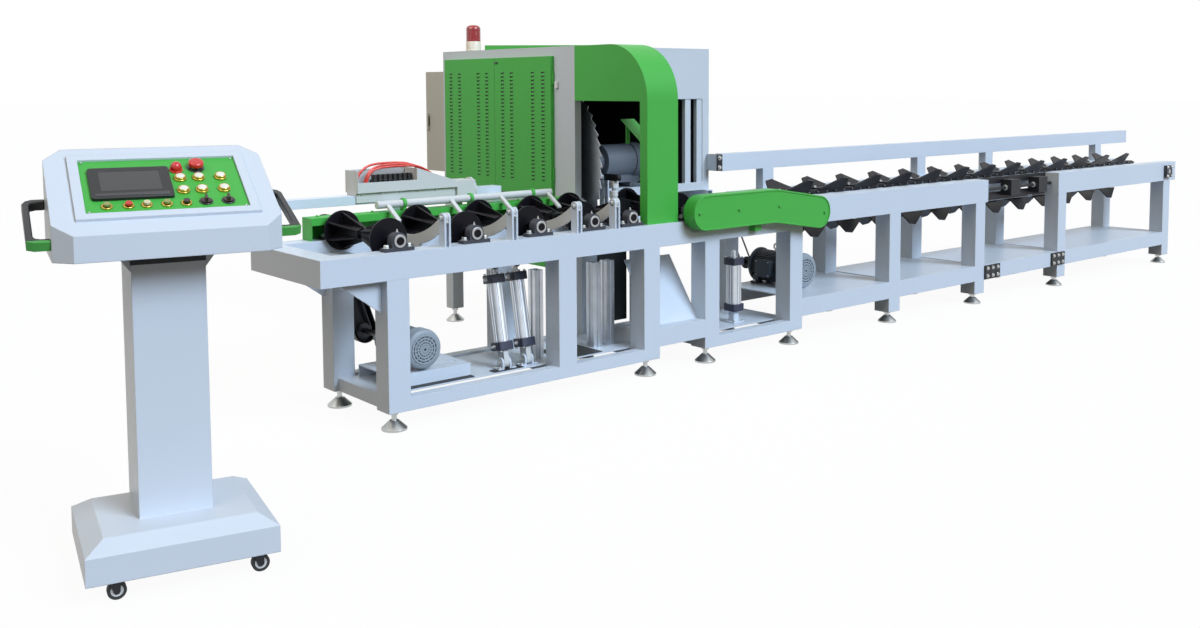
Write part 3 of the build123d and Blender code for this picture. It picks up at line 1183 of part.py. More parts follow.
def deflector():
    """Sloping plate on the hood's leg that turns sawdust down beside the blade, with a hanging bar."""
    near = HOOD_SETBACK - HALF + HOOD_LEG
    far = near + DEFLECTOR_REACH
    low, high = HOOD_UNDER - DEFLECTOR_DROP[0], HOOD_UNDER - DEFLECTOR_DROP[1]
    face = polygon((near, low), (far, high), (far, high + SHEET), (near, low + SHEET))
    x = (BLADE_X + DEFLECTOR_X[0], BLADE_X + DEFLECTOR_X[1])
    wide, back, drop = DEFLECTOR_BAR
    bar_y = far - back
    bar_top = high - back * (high - low) / DEFLECTOR_REACH
    bar = block((x[0], x[0] + wide), (bar_y - SHEET, bar_y), (bar_top - drop, bar_top + SHEET / 2))
    return slab_yz(face, x) + bar


def lower_guard():
    """Open-topped pan round the lower half of the blade, open towards the front."""
    wide = around(BLADE_X, LOWER_GUARD_WIDTH)
    inner_x = (wide[0] + SHEET, wide[1] - SHEET)
    front, back = LOWER_GUARD_Y
    top, floor = CABINET_Z[0], LOWER_GUARD_FLOOR
    bend = SPINDLE_POS[0] + LOWER_GUARD_BEND
    face = polygon((front, top), (front, floor), (bend, floor), (back, floor + LOWER_GUARD_RISE), (back, top))
    pan = slab_yz(face, wide)
    pan -= slab_yz(offset(face, amount=-SHEET), inner_x)
    pan -= block(inner_x, (front + SHEET, back - SHEET), (top - SHEET, top))
    pan -= block(inner_x, (front, front + SHEET), (floor + SHEET, top))
    return pan


def electrical_cabinet():
    """Shallow control cabinet on the back of the saw cabinet, open towards its door."""
    case = block(ELECTRIC_X, ELECTRIC_Y, ELECTRIC_Z)
    case -= block((ELECTRIC_X[0], ELECTRIC_X[1] - SHEET), (ELECTRIC_Y[0] + SHEET, ELECTRIC_Y[1] - SHEET),
                  (ELECTRIC_Z[0] + SHEET, ELECTRIC_Z[1] - SHEET))
    return [case]


def electrical_door():
    """Door of the control cabinet, with its hinge knuckles and lever handle."""
    y = (ELECTRIC_EDGE, ELECTRIC_Y[1])
    x = ELECTRIC_LEAF
    door = block(x, y, ELECTRIC_Z)
    door -= block((x[0] + SHEET, x[1]), (y[0] + SHEET, y[1] - SHEET),
                  (ELECTRIC_Z[0] + SHEET, ELECTRIC_Z[1] - SHEET))
    lever_y = (y[1] - 2 * HANDLE_SIZE[1], y[1] - HANDLE_SIZE[1])
    door += block((x[0] - HANDLE_SIZE[0], x[0]), lever_y, around(sum(ELECTRIC_Z) / 2, HANDLE_SIZE[2]))
    for z in (ELECTRIC_Z[0] + LOUVRE_MARGIN, ELECTRIC_Z[1] - LOUVRE_MARGIN - HINGE_LENGTH):
        door += rod("Z", (z, z + HINGE_LENGTH), (x[0], y[0]), ELECTRIC_HINGE)
    return [door]


def beacon():
    """Round signal lamp on the cabinet roof."""
    base_top = CABINET_Z[1] + BEACON_BASE[1]
    base = rod("Z", (CABINET_Z[1], base_top), BEACON_POS, BEACON_BASE[0])
    lens = rod("Z", (base_top, base_top + BEACON_LENS[1]), BEACON_POS, BEACON_LENS[0])
    lens = fillet(lens.edges().group_by(Axis.Z)[-1], BEACON_LENS[0] / 3)
    return [base, lens]


def clamp_stand():
    """Cheeks, pivot pin and upright air cylinder of the log clamp."""
    parts = []
    inside = CLAMP_WIDTH / 2 + POST_GAP
    for side in (-1, 1):
        span = tuple(sorted((CLAMP_X + side * inside, CLAMP_X + side * (inside + CHEEK_THICK))))
        cheek = block(span, around(CLAMP_PIVOT[0], CHEEK_WIDTH), (RAIL_TOP, CLAMP_PIVOT[1] + CHEEK_WIDTH / 2))
        parts.append(cheek - rod("X", span, CLAMP_PIVOT, PIN_RADIUS + RUN_FIT))
    parts.append(rod("X", around(CLAMP_X, 2 * (inside + CHEEK_THICK)), CLAMP_PIVOT, PIN_RADIUS))
    shelf_z = RAIL_TOP - CHEEK_THICK
    reach = CLAMP_ROD_Y - CLAMP_BARREL_RADIUS
    barrel_top = shelf_z + CLAMP_BARREL_LENGTH
    wide = around(CLAMP_X, 2 * CLAMP_BARREL_RADIUS)
    parts.append(block(wide, (reach, BACK_RAIL[0]), (shelf_z - CHEEK_THICK, shelf_z)))
    parts.append(rod("Z", (shelf_z, barrel_top), (CLAMP_X, CLAMP_ROD_Y), CLAMP_BARREL_RADIUS))
    under_arm = CLAMP_PIVOT[1] - CLAMP_DEPTH / 2 - SEAT
    parts.append(rod("Z", (barrel_top, under_arm - CLEVIS), (CLAMP_X, CLAMP_ROD_Y), CLAMP_ROD_RADIUS))
    clevis = block(around(CLAMP_X, CLEVIS), around(CLAMP_ROD_Y, CLEVIS), (under_arm - CLEVIS, under_arm))
    parts.append(clevis - rod("X", around(CLAMP_X, CLEVIS), (CLAMP_ROD_Y, under_arm - CLEVIS / 2), PIN_RADIUS))
    return parts


def clamp_arm():
    """Log clamp lever beside the blade."""
    tip = (CLAMP_PIVOT[0] - CLAMP_REACH + CLAMP_DEPTH / 2, CLAMP_PIVOT[1])
    face = slot_face(CLAMP_PIVOT, tip, CLAMP_DEPTH / 2)
    face -= Pos(*CLAMP_PIVOT) * Circle(PIN_RADIUS + RUN_FIT)
    return [slab_yz(face, around(CLAMP_X, CLAMP_WIDTH))]


def air_cylinders():
    """Fixed air gear: kicker clevises, clamp stand, upright cylinder and lift guides."""
    parts = kicker_clevises() + clamp_stand()
    guide_z = (LOW_TOP, RAIL_UNDER - LIFT_RAIL_SHORT)
    for x in LIFT_RAIL_X:
        parts.append(block(around(x, LIFT_RAIL[0]), around(LIFT_RAIL_Y, LIFT_RAIL[1]), guide_z))
    x, y = UPRIGHT_AT
    side, length = UPRIGHT_BARREL
    start = LOW_TOP + UPRIGHT_RISE
    top = start + length + CAP_LENGTH
    parts.append(block(around(x, side / 2), around(y, side / 2), (LOW_TOP, start)))
    parts.append(rod("Z", (start + CAP_LENGTH, start + length), (x, y), side / 2))
    for cap_z in ((start, start + CAP_LENGTH), (start + length, top)):
        parts.append(block(around(x, side), around(y, side), cap_z))
    parts.append(rod("Z", (top, top + CAP_LENGTH), (x, y), KICK_ROD))
    return parts


# Outfeed conveyor

def conveyor_frame():
    """Side rails, legs, low rails, floor sheets and chain beds of the conveyor."""
    rail_z = (CONVEYOR_UNDER, CONVEYOR_TOP)
    runs = (((CONVEYOR_START, SECTION_GAP[0]), FRONT), ((SECTION_GAP[1], CONVEYOR_END), FRONT),
            ((CONVEYOR_START, CONVEYOR_END), BACK_LEG))
    parts = []
    for span, y in runs:
        rail = tube("X", span, y, rail_z)
        for shaft_x in (HEAD_X, TAIL_X):
            rail -= rod("Y", (-HALF, BACK_LEG[1]), (shaft_x, CHAIN_AXIS_Z), SHAFT_RADIUS + SHEET)
        parts += [rail] + end_caps(span, y, rail_z)
    low_y = (-HALF, -HALF + LOW_RAIL), (BACK_LEG[1] - LOW_RAIL, BACK_LEG[1])
    previous = TABLE_RIGHT
    cross_z = around(CHAIN_AXIS_Z, CROSS_TUBE)
    for x in CONVEYOR_LEGS:
        wide = around(x, CONVEYOR_LEG)
        for y in (FRONT, BACK_LEG):
            parts += leg(wide, y, CONVEYOR_LEG_UNDER, CONVEYOR_UNDER)
        for y in low_y:
            parts.append(tube("X", (previous, wide[0]), y, CONVEYOR_LOW))
        narrow = around(x, LOW_RAIL)
        parts.append(tube("Y", narrow, (HALF, BACK_LEG[0]), CONVEYOR_LOW))
        floor_x = (previous, narrow[0])
        floor_z = (CONVEYOR_LOW[1] - FLOOR_SHEET, CONVEYOR_LOW[1])
        parts.append(block(floor_x, (low_y[0][1], low_y[1][0]), floor_z))
        shift = -CONVEYOR_LEG if x > TAIL_X - CONVEYOR_LEG else 0.0
        cross_x = around(x + shift, LOW_RAIL)
        parts.append(tube("Y", cross_x, (HALF, BACK_LEG[0]), cross_z))
        parts += return_hangers(cross_x, cross_z[0])
        previous = wide[1]
    return parts + chain_beds(cross_z[1])


def chain_beds(cross_top):
    """Bed strip under the upper strand and the two strips that hold up the return strand."""
    bed_x = (HEAD_X + CHAIN_WHEEL + HALF, TAIL_X - CHAIN_WHEEL - HALF)
    parts = [block(bed_x, around(CONVEYOR_MID_Y, BED_WIDTH), (cross_top, STRAND_TOP_UNDER - SEAT))]
    strip_top = STRAND_LOW_TOP - STRAND_FLANGE[1] - SEAT
    for side in (-1, 1):
        edge = CONVEYOR_MID_Y + side * STRAND_FLANGE[0] / 2
        span = tuple(sorted((edge, edge - side * RETURN_STRIP[0])))
        parts.append(block(bed_x, span, (strip_top - RETURN_STRIP[1], strip_top)))
    return parts


def return_hangers(x, top):
    """Plates that hang the return strips from a cross tube."""
    lower = STRAND_LOW_TOP - STRAND_FLANGE[1] - SEAT - RETURN_STRIP[1]
    parts = []
    for side in (-1, 1):
        edge = CONVEYOR_MID_Y + side * STRAND_FLANGE[0] / 2
        near, far = edge + side * HANG_GAP, edge + side * (HANG_GAP + HANGER)
        hanger = block(x, tuple(sorted((near, far))), (lower - HANGER, top))
        hook_y = tuple(sorted((edge - side * RETURN_STRIP[0], far)))
        parts.append(hanger + block(x, hook_y, (lower - HANGER, lower)))
    return parts


def chain_shaft(x, front_y, back_y):
    """Conveyor shaft with its centre chain wheel."""
    shaft = rod("Y", (front_y, back_y), (x, CHAIN_AXIS_Z), SHAFT_RADIUS)
    wheel = rod("Y", around(CONVEYOR_MID_Y, CHAIN_WHEEL_THICK), (x, CHAIN_AXIS_Z), CHAIN_WHEEL, SHAFT_RADIUS)
    return shaft + wheel


def head_shaft():
    """Driven shaft with the two drive chain wheels."""
    shaft = chain_shaft(HEAD_X, FRONT_DRIVE[0] - SPROCKET_THICK, OUT_DRIVE_PLANE[1] + SPROCKET_THICK)
    front = sprocket(HEAD_X, FRONT_DRIVE[0], z=CHAIN_AXIS_Z)
    back = sprocket(HEAD_X, OUT_DRIVE_PLANE[0], z=CHAIN_AXIS_Z)
    return [shaft, front, back]


def tail_shaft():
    """Idle shaft at the far end."""
    return [chain_shaft(TAIL_X, *FLANGE_FACES)]


def wing(mirror):
    """Fin plate leaning outward: tall at one end, sloping down to the other; base edge on Y = 0."""
    half = WING_LENGTH / 2
    points = [(-half, 0), (half, 0), (half - WING_NOSE, WING_SHOULDER), (half - WING_TIP, WING_HEIGHT),
              (-half, WING_HEEL)]
    if mirror:
        points = [(-x, z) for x, z in reversed(points)]
    return slab_xz(polygon(*points), (0, WING_THICK))


def flight(x, z, up):
    """Base plate and two leaning fins on the chain; up is 1 on the top run and -1 on the return."""
    base = FLIGHT_BASE
    plate = block(around(0, base[0]), around(0, base[1]), (0, base[2]))
    for side in (-1, 1):
        leaf = Rot(-side * WING_LEAN, 0, 0) * wing(side > 0)
        shift = side * (base[1] / 2) - (WING_THICK if side > 0 else 0)
        plate += Pos(0, shift, 0) * leaf
    plate -= block(around(0, WING_LENGTH), around(0, 2 * WING_HEIGHT), (-WING_HEIGHT, 0))
    if up < 0:
        plate = Rot(180, 0, 0) * plate
    return Pos(x, CONVEYOR_MID_Y, z) * plate


def strand(up):
    """One run of the winged chain: side-bar flange, web and its row of flights."""
    y_flange = around(CONVEYOR_MID_Y, STRAND_FLANGE[0])
    y_web = around(CONVEYOR_MID_Y, STRAND_WEB[0])
    start = STRAND_TOP_UNDER if up > 0 else STRAND_LOW_TOP
    levels = [start, start + up * STRAND_FLANGE[1], start + up * (STRAND_FLANGE[1] + STRAND_WEB[1])]
    begin, first, count = TOP_RUN if up > 0 else RETURN_RUN
    run = (HEAD_X + begin, STRAND_END)
    flange = block(run, y_flange, tuple(sorted(levels[:2])))
    web = block(run, y_web, tuple(sorted(levels[1:])))
    flights = [flight(HEAD_X + first + index * FLIGHT_PITCH, levels[2], up) for index in range(count)]
    return [flange + web] + flights


def chain_tensioner():
    """Black link bars across the section gap, screw blocks and the splice plates."""
    parts = []
    overlap, thick = LINK_BAR
    bar_x = (SECTION_GAP[0] - overlap, SECTION_GAP[1] + overlap)
    cross = around(CHAIN_AXIS_Z, CROSS_TUBE)
    for z in ((cross[1], CONVEYOR_TOP), (CONVEYOR_UNDER, cross[0])):
        parts.append(block(bar_x, (HALF, HALF + thick), z))
    length, depth, tall = SCREW_BLOCK
    for x in SCREW_BLOCK_X:
        parts.append(block((x, x + length), (HALF - depth, HALF), around(CHAIN_AXIS_Z, tall)))
    starts = (SECTION_GAP[0],) + tuple(x + length for x in SCREW_BLOCK_X)
    ends = SCREW_BLOCK_X + (SECTION_GAP[1],)
    for span in zip(starts, ends):
        parts.append(rod("X", span, (HALF - depth / 2, CHAIN_AXIS_Z), SCREW_RADIUS))
    plate_z = around(sum(CONVEYOR_LOW) / 2, SPLICE[1])
    for x in (CONVEYOR_LEGS[1] + CONVEYOR_LEG / 2, CONVEYOR_LEGS[2] - CONVEYOR_LEG / 2 - SPLICE[0] / 2):
        parts.append(block((x, x + SPLICE[0]), (-HALF - SPLICE[2], -HALF), plate_z))
    return parts


def fence_rail():
    """Log fence along the back of the conveyor, with its posts and the bracket at the saw."""
    wide = around(BASE_DEPTH, FENCE_SIZE[0])
    parts = [tube("X", FENCE_X, wide, FENCE_Z)] + end_caps(FENCE_X, wide, FENCE_Z)
    for x in FENCE_POSTS:
        parts.append(tube("Z", around(x, FENCE_POST), wide, (CONVEYOR_TOP, FENCE_Z[0])))
    bracket_z = (FENCE_Z[0] + TUBE_WALL, FENCE_Z[1] - TUBE_WALL)
    parts.append(block((FENCE_X[0] - FENCE_BRACKET, FENCE_X[0]), (wide[0], CABINET_Y[0]), bracket_z))
    return parts


# Control console, drawn square and then turned into place

def placed(shape):
    """Move a piece from the console's own frame to where the console stands."""
    return Pos(*CONSOLE_POS, 0) * Rot(0, 0, CONSOLE_TURN) * shape


def frustum(size, z, bevel, rise):
    """Box skirt with a bevelled top."""
    skirt_top = z[1]
    skirt = block(around(0, size[0]), around(0, size[1]), z)
    low = Pos(0, 0, skirt_top) * Rectangle(*size)
    high = Pos(0, 0, skirt_top + rise) * Rectangle(size[0] - 2 * bevel, size[1] - 2 * bevel)
    return skirt + loft([low, high])


def caster_places():
    """Swivel centres of the casters: front pair first."""
    x = STAND_SIZE[0] / 2 - CASTER_INSET
    y = STAND_SIZE[1] / 2 - CASTER_INSET
    return ((-x, -y), (x, -y), (-x, y), (x, y))


def console_stand():
    """Hollow foot with its column and caster plate, and the two rigid rear forks."""
    z = (STAND_UNDER, STAND_UNDER + STAND_SKIRT)
    foot = frustum(STAND_SIZE, z, STAND_BEVEL, STAND_BEVEL_RISE)
    inner = (STAND_SIZE[0] - 2 * CONSOLE_SHEET, STAND_SIZE[1] - 2 * CONSOLE_SHEET)
    foot -= frustum(inner, (z[0] + CASTER_PLATE, z[1] - CONSOLE_SHEET), STAND_BEVEL, STAND_BEVEL_RISE)
    column_y = around(COLUMN_BACK, COLUMN_SIZE[1])
    column = tube("Z", around(0, COLUMN_SIZE[0]), column_y, (STAND_TOP, HEAD_UNDER), CONSOLE_SHEET)
    for x, y in caster_places()[:2]:
        foot -= rod("Z", (z[0], z[0] + CASTER_PLATE), (x, y), KING_PIN + RUN_FIT)
    forks = [caster_fork(place, 0.0) for place in caster_places()[2:]]
    return [placed(piece) for piece in [foot, column] + forks]


def caster_fork(place, drop):
    """Caster fork: top plate and two cheeks that hold the axle, dropped clear of the stand if it swivels."""
    x, y = place
    wheel_y = y + CASTER_TRAIL
    top = STAND_UNDER - drop
    outside = CASTER_WIDTH / 2 + FORK_GAP + FORK_CHEEK
    half = CASTER_TRAIL / 2
    fork = block(around(x, 2 * outside), (y - CASTER_TRAIL, wheel_y + half), (top - CASTER_PLATE, top))
    axle = (wheel_y, CASTER_RADIUS)
    for side in (-1, 1):
        inside = x + side * (CASTER_WIDTH / 2 + FORK_GAP)
        span = tuple(sorted((inside, inside + side * FORK_CHEEK)))
        back = wheel_y + half
        face = polygon((y - half, top), (back, top), (back, axle[1]), (wheel_y - half, axle[1]))
        face += Pos(*axle) * Circle(half)
        fork += slab_yz(face, span)
    if drop:
        fork += rod("Z", (top - CASTER_PLATE, STAND_UNDER + CASTER_PLATE), (x, y), KING_PIN)
    return fork + rod("X", around(x, 2 * outside), axle, AXLE_RADIUS)


def swivelled(shape, index):
    """Piece of a front caster turned about its king pin; the rear casters do not turn."""
    x, y = caster_places()[index]
    return Pos(x, y, 0) * Rot(0, 0, CASTER_TURN if index < 2 else 0) * Pos(-x, -y, 0) * shape


def caster_wheel(index):
    """Caster tyre on its axle."""
    x, y = caster_places()[index]
    axle = (y + CASTER_TRAIL, CASTER_RADIUS)
    wheel = rod("X", around(x, CASTER_WIDTH), axle, CASTER_RADIUS, AXLE_RADIUS + RUN_FIT)
    return [placed(swivelled(wheel, index))]


def head_octagon(inset):
    """Plan of the console head with its cut corners."""
    x, y = HEAD_SIZE[0] / 2 - inset, HEAD_SIZE[1] / 2 - inset
    cut = HEAD_CHAMFER - inset * (2 - math.sqrt(2))
    return polygon((-x + cut, -y), (x - cut, -y), (x, -y + cut), (x, y - cut), (x - cut, y), (-x + cut, y),
                   (-x, y - cut), (-x, -y + cut))


def head_block(inset, under):
    """Wedge-topped block of the console head, shrunk by an inset."""
    drop = inset / math.cos(math.radians(HEAD_SLOPE))
    body = extrude(Pos(0, 0, under) * head_octagon(inset), amount=HEAD_BACK - under)
    y = HEAD_SIZE[1]
    rise = HEAD_BACK - HEAD_FRONT
    middle = (HEAD_FRONT + HEAD_BACK) / 2
    high = HEAD_BACK + rise
    above = polygon((-y, middle - rise - drop), (y, middle + rise - drop), (y, high), (-y, high))
    return body - slab_yz(above, (-HEAD_SIZE[0], HEAD_SIZE[0]))


def console_head():
    """Hollow console head with a raised frame round the panel."""
    shell = head_block(0.0, HEAD_UNDER) - head_block(CONSOLE_SHEET, HEAD_UNDER + CONSOLE_SHEET)
    window = panel_block(-PANEL_LAP / 2, around(0, 4 * CONSOLE_SHEET))
    border, height = PANEL_FRAME
    frame = panel_block(border, (0, height)) - panel_block(SEAT, (0, height))
    return [placed(shell) - on_panel(window, (0, 0)), on_panel(frame, (0, 0))]


def panel_block(margin, z):
    """Block over the panel's outline, grown on every side by a margin."""
    wide = around(PANEL_OFFSET[0], PANEL_SIZE[0] + 2 * margin)
    return block(wide, around(PANEL_OFFSET[1], PANEL_SIZE[1] + 2 * margin), z)


def on_panel(shape, at, lift=0.0):
    """Put a piece drawn up +Z on the sloping panel face at (across, up-slope)."""
    middle = (HEAD_FRONT + HEAD_BACK) / 2
    return placed(Pos(0, 0, middle) * Rot(HEAD_SLOPE, 0, 0) * Pos(at[0], at[1], lift) * shape)


def upright(radius, height, start=0.0):
    """Cylinder standing on Z = start."""
    return rod("Z", (start, start + height), (0, 0), radius)


def control_panel():
    """Panel plate with the operator holes, the screen unit and the pilot lamps."""
    plate = panel_block(0.0, (0, PANEL_THICK))
    for at in BUTTON_AT + SELECTOR_AT + (STOP_AT,):
        plate -= Pos(*at, 0) * upright(BUTTON_STEM + SEAT, PANEL_THICK)
    screen_z = (PANEL_THICK, PANEL_THICK + SCREEN_SIZE[2])
    screen = block(around(0, SCREEN_SIZE[0]), around(0, SCREEN_SIZE[1]), screen_z)
    parts = [on_panel(plate, (0, 0)), on_panel(screen, SCREEN_AT)]
    return parts + [on_panel(upright(LAMP_RADIUS, LAMP_HEIGHT, PANEL_THICK), at) for at in LAMP_AT]


def push_button(index):
    """Push button cap above its stem; the travel is the gap under the cap."""
    cap = upright(BUTTON_RADIUS, BUTTON_HEIGHT / 2, PANEL_THICK + BUTTON_HEIGHT / 2)
    cap += upright(BUTTON_STEM, 2 * BUTTON_HEIGHT, -BUTTON_HEIGHT + PANEL_THICK)
    return [on_panel(cap, BUTTON_AT[index])]


def selector(index):
    """Selector knob: round skirt with a raised bar."""
    knob = upright(SELECTOR_RADIUS, BUTTON_HEIGHT / 2, PANEL_THICK + SEAT)
    knob += upright(BUTTON_STEM, 2 * BUTTON_HEIGHT, -BUTTON_HEIGHT)
    top = PANEL_THICK + SEAT + BUTTON_HEIGHT / 2
    bar_y = around(0, 2 * SELECTOR_RADIUS - BUTTON_STEM)
    knob += block(around(0, SELECTOR_RADIUS / 2), bar_y, (top, top + BUTTON_HEIGHT))
    return [on_panel(knob, SELECTOR_AT[index])]


def emergency_stop():
    """Mushroom stop button."""
    stem = upright(BUTTON_STEM, 3 * BUTTON_HEIGHT, -BUTTON_HEIGHT)
    mushroom = upright(STOP_RADIUS, BUTTON_HEIGHT, PANEL_THICK + BUTTON_HEIGHT)
    mushroom = fillet(mushroom.edges().group_by(Axis.Z)[-1], BUTTON_HEIGHT / 2)
    return [on_panel(stem + mushroom, STOP_AT)]


def side_handles():
    """Bent bar handles on both sides of the console head."""
    parts = []
    rise = math.degrees(math.atan2(HANDLE_BACK[1] - HANDLE_FRONT[1], HANDLE_BACK[0] - HANDLE_FRONT[0]))
    length = math.dist(HANDLE_FRONT, HANDLE_BACK)
    middle = [(a + b) / 2 for a, b in zip(HANDLE_FRONT, HANDLE_BACK)]
    wall = HEAD_SIZE[0] / 2
    for side in (-1, 1):
        near, far = side * wall, side * (wall + HANDLE_OUT)
        path = FilletPolyline((near, -length / 2, 0), (far, -length / 2, 0), (far, length / 2, 0),
                              (near, length / 2, 0), radius=HANDLE_BEND)
        bar = sweep(Plane(origin=path @ 0, z_dir=path % 0) * Circle(HANDLE_BAR), path=path)
        parts.append(placed(Pos(0, middle[0], middle[1]) * Rot(rise, 0, 0) * bar))
    return parts


def node_shapes():
    """Every node's name with the solids it holds."""
    nodes = {
        "main_frame": main_frame(),
        "conveyor_frame": conveyor_frame(),
        "levelling_feet": levelling_feet(),
        "roller_bearings": roller_bearings(),
        "roller_chain_guard": roller_chain_guard(),
        "drive_chain_guard": drive_chain_guard(),
        "drive_chains": drive_chains(),
        "infeed_motor": motor(INFEED_MOTOR_POS, INFEED_MOTOR_RADIUS, INFEED_MOTOR_Y, MOTOR_DECK, INFEED_BOX_TILT),
        "infeed_sprocket": motor_sprocket(INFEED_MOTOR_POS, INFEED_MOTOR_Y[1], DRIVE_PLANE),
        "infeed_drive_guard": infeed_drive_guard(),
        "outfeed_motor": motor(OUTFEED_MOTOR_POS, OUTFEED_MOTOR_RADIUS, OUTFEED_MOTOR_Y, CONVEYOR_LOW[1],
                               OUTFEED_BOX_TILT),
        "outfeed_sprocket": motor_sprocket(OUTFEED_MOTOR_POS, OUTFEED_MOTOR_Y[1], OUT_DRIVE_PLANE),
        "kicker_arms": kicker_arms(),
        "kicker_cylinders": kicker_cylinders(),
        "kicker_rods": kicker_rods(),
        "ejector_shaft": ejector_shaft(),
        "pusher_carriage": pusher_carriage(),
        "air_hoses": air_hoses(),
        "air_cylinders": air_cylinders(),
        "clamp_arm": clamp_arm(),
        "saw_cabinet": saw_cabinet(),
        "cabinet_door_front": cabinet_door(DOOR_Y[0], DOOR_MIDDLE - DOOR_GAP / 2, True),
        "cabinet_door_rear": cabinet_door(DOOR_MIDDLE + DOOR_GAP / 2, DOOR_Y[1], False),
        "arch_hood": arch_hood(),
        "saw_carriage": saw_carriage(),
        "saw_spindle": saw_spindle(),
        "saw_blade": saw_blade(),
        "electrical_cabinet": electrical_cabinet(),
        "electrical_door": electrical_door(),
        "beacon": beacon(),
        "head_shaft": head_shaft(),
        "tail_shaft": tail_shaft(),
        "upper_flights": strand(1),
        "lower_flights": strand(-1),
        "chain_tensioner": chain_tensioner(),
        "fence_rail": fence_rail(),
        "console_stand": console_stand(),
        "console_head": console_head(),
        "control_panel": control_panel(),
        "side_handles": side_handles(),
        "emergency_stop": emergency_stop(),
    }
    for index in range(len(ROLLER_X)):
        nodes[f"roller_{index + 1}"] = roller(index)
    for index, side in enumerate(("left", "right")):
        nodes[f"caster_fork_{side}"] = [placed(swivelled(caster_fork(caster_places()[index], SEAT), index))]
    for index in range(len(caster_places())):
        nodes[f"caster_wheel_{index + 1}"] = caster_wheel(index)
    for index in range(len(BUTTON_AT)):
        nodes[f"push_button_{index + 1}"] = push_button(index)
    for index in range(len(SELECTOR_AT)):
        nodes[f"selector_{index + 1}"] = selector(index)
    return nodes


def write_parts():
    """Write one STEP file per node."""
    os.makedirs("parts", exist_ok=True)
    for name, pieces in node_shapes().items():
        solids = [solid for piece in pieces for solid in piece.solids()]
        export_step(Compound(children=solids), f"parts/{name}.step")


write_parts()
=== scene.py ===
"""Dress the log bucking saw: finishes for its solids, and the fittings too fine for them."""

from __future__ import annotations

import logging
import math
from collections.abc import Sequence
from dataclasses import dataclass
from enum import Enum

import bmesh
import bpy
from mathutils import Matrix, Vector


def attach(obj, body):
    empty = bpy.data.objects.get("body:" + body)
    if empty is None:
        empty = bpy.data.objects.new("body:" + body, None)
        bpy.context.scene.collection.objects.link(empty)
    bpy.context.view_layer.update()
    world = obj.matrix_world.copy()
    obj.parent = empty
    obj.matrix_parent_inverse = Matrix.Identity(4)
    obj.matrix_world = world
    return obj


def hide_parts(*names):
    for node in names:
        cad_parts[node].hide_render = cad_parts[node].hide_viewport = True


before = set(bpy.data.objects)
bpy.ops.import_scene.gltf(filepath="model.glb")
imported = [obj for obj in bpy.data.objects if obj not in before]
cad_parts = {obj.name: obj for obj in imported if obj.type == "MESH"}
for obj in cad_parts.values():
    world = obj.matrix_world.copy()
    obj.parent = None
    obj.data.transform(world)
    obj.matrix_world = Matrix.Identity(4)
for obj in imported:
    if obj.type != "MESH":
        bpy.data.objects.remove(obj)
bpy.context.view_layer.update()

log = logging.getLogger("log_saw")
Point = tuple[float, float, float]
Flat = tuple[float, float]
Quad = tuple[float, float, float, float]
Outline = list[Flat]
Profile = tuple[Flat, ...]
Socket = bpy.types.NodeSocket
Tree = bpy.types.NodeTree
TAU = 2 * math.pi
MM_PER_M = 1000.0
UP, DOWN = (0, 0, 1), (0, 0, -1)
LEFT, RIGHT = (-1, 0, 0), (1, 0, 0)
FRONT, BACK = (0, -1, 0), (0, 1, 0)
SIDES = (-1, 1)
FRAME, CONSOLE, PUSHER = "frame_body", "console_body", "pusher_body"
NOISE, MIX, RANGE, MATHS = "ShaderNodeTexNoise", "ShaderNodeMixRGB", "ShaderNodeMapRange", "ShaderNodeMath"
BEVEL, BUMP, SHADER = "ShaderNodeBevel", "ShaderNodeBump", "ShaderNodeBsdfPrincipled"
COORDS, BLEND = "ShaderNodeTexCoord", "ShaderNodeMixShader"


def linear(code: str) -> Quad:
    """Turn an sRGB hex code into a linear colour.

    Args:
        code: six hex digits after a hash sign.

    Returns:
        Linear red, green and blue, with an alpha of 1.
    """
    parts = [int(code[i : i + 2], 16) / 255 for i in (1, 3, 5)]
    rgb = [c / 12.92 if c <= 0.04045 else ((c + 0.055) / 1.055) ** 2.4 for c in parts]
    return (rgb[0], rgb[1], rgb[2], 1.0)


def scaled(colour: Quad, share: float) -> Quad:
    """Return a colour made darker or lighter by a share."""
    return tuple(min(1.0, c * share) for c in colour[:3]) + (1.0,)


def add_node(tree: Tree, kind: str, feeds: dict | None = None, out: int | str = 0, **settings) -> Socket:
    """Add a shader node with its settings and links.

    Args:
        tree: node tree to add to.
        kind: the node's type name.
        feeds: input name or index to a socket that drives it or a plain value.
        out: name or index of the output to hand back.
        settings: attributes of the node.

    Returns:
        The chosen output socket, or None where the node has none.
    """
    node = tree.nodes.new(kind)
    for key, value in settings.items():
        setattr(node, key, value)
    for key, value in (feeds or {}).items():
        if isinstance(value, bpy.types.NodeSocket):
            tree.links.new(value, node.inputs[key])
        else:
            node.inputs[key].default_value = value
    return node.outputs[out] if node.outputs else None


def empty_tree(owner: bpy.types.Material | bpy.types.World) -> Tree:
    """Clear a material's or world's node tree.

    Args:
        owner: the material or world.

    Returns:
        Its node tree, with nothing in it.
    """
    owner.use_nodes = True
    owner.node_tree.nodes.clear()
    return owner.node_tree


def show(obj: bpy.types.Object) -> None:
    """Put an object into the scene."""
    bpy.context.scene.collection.objects.link(obj)


def repeats(size_mm: float) -> float:
    """Return a pattern's scale, in repeats per metre, from the size of its features."""
    return MM_PER_M / size_mm


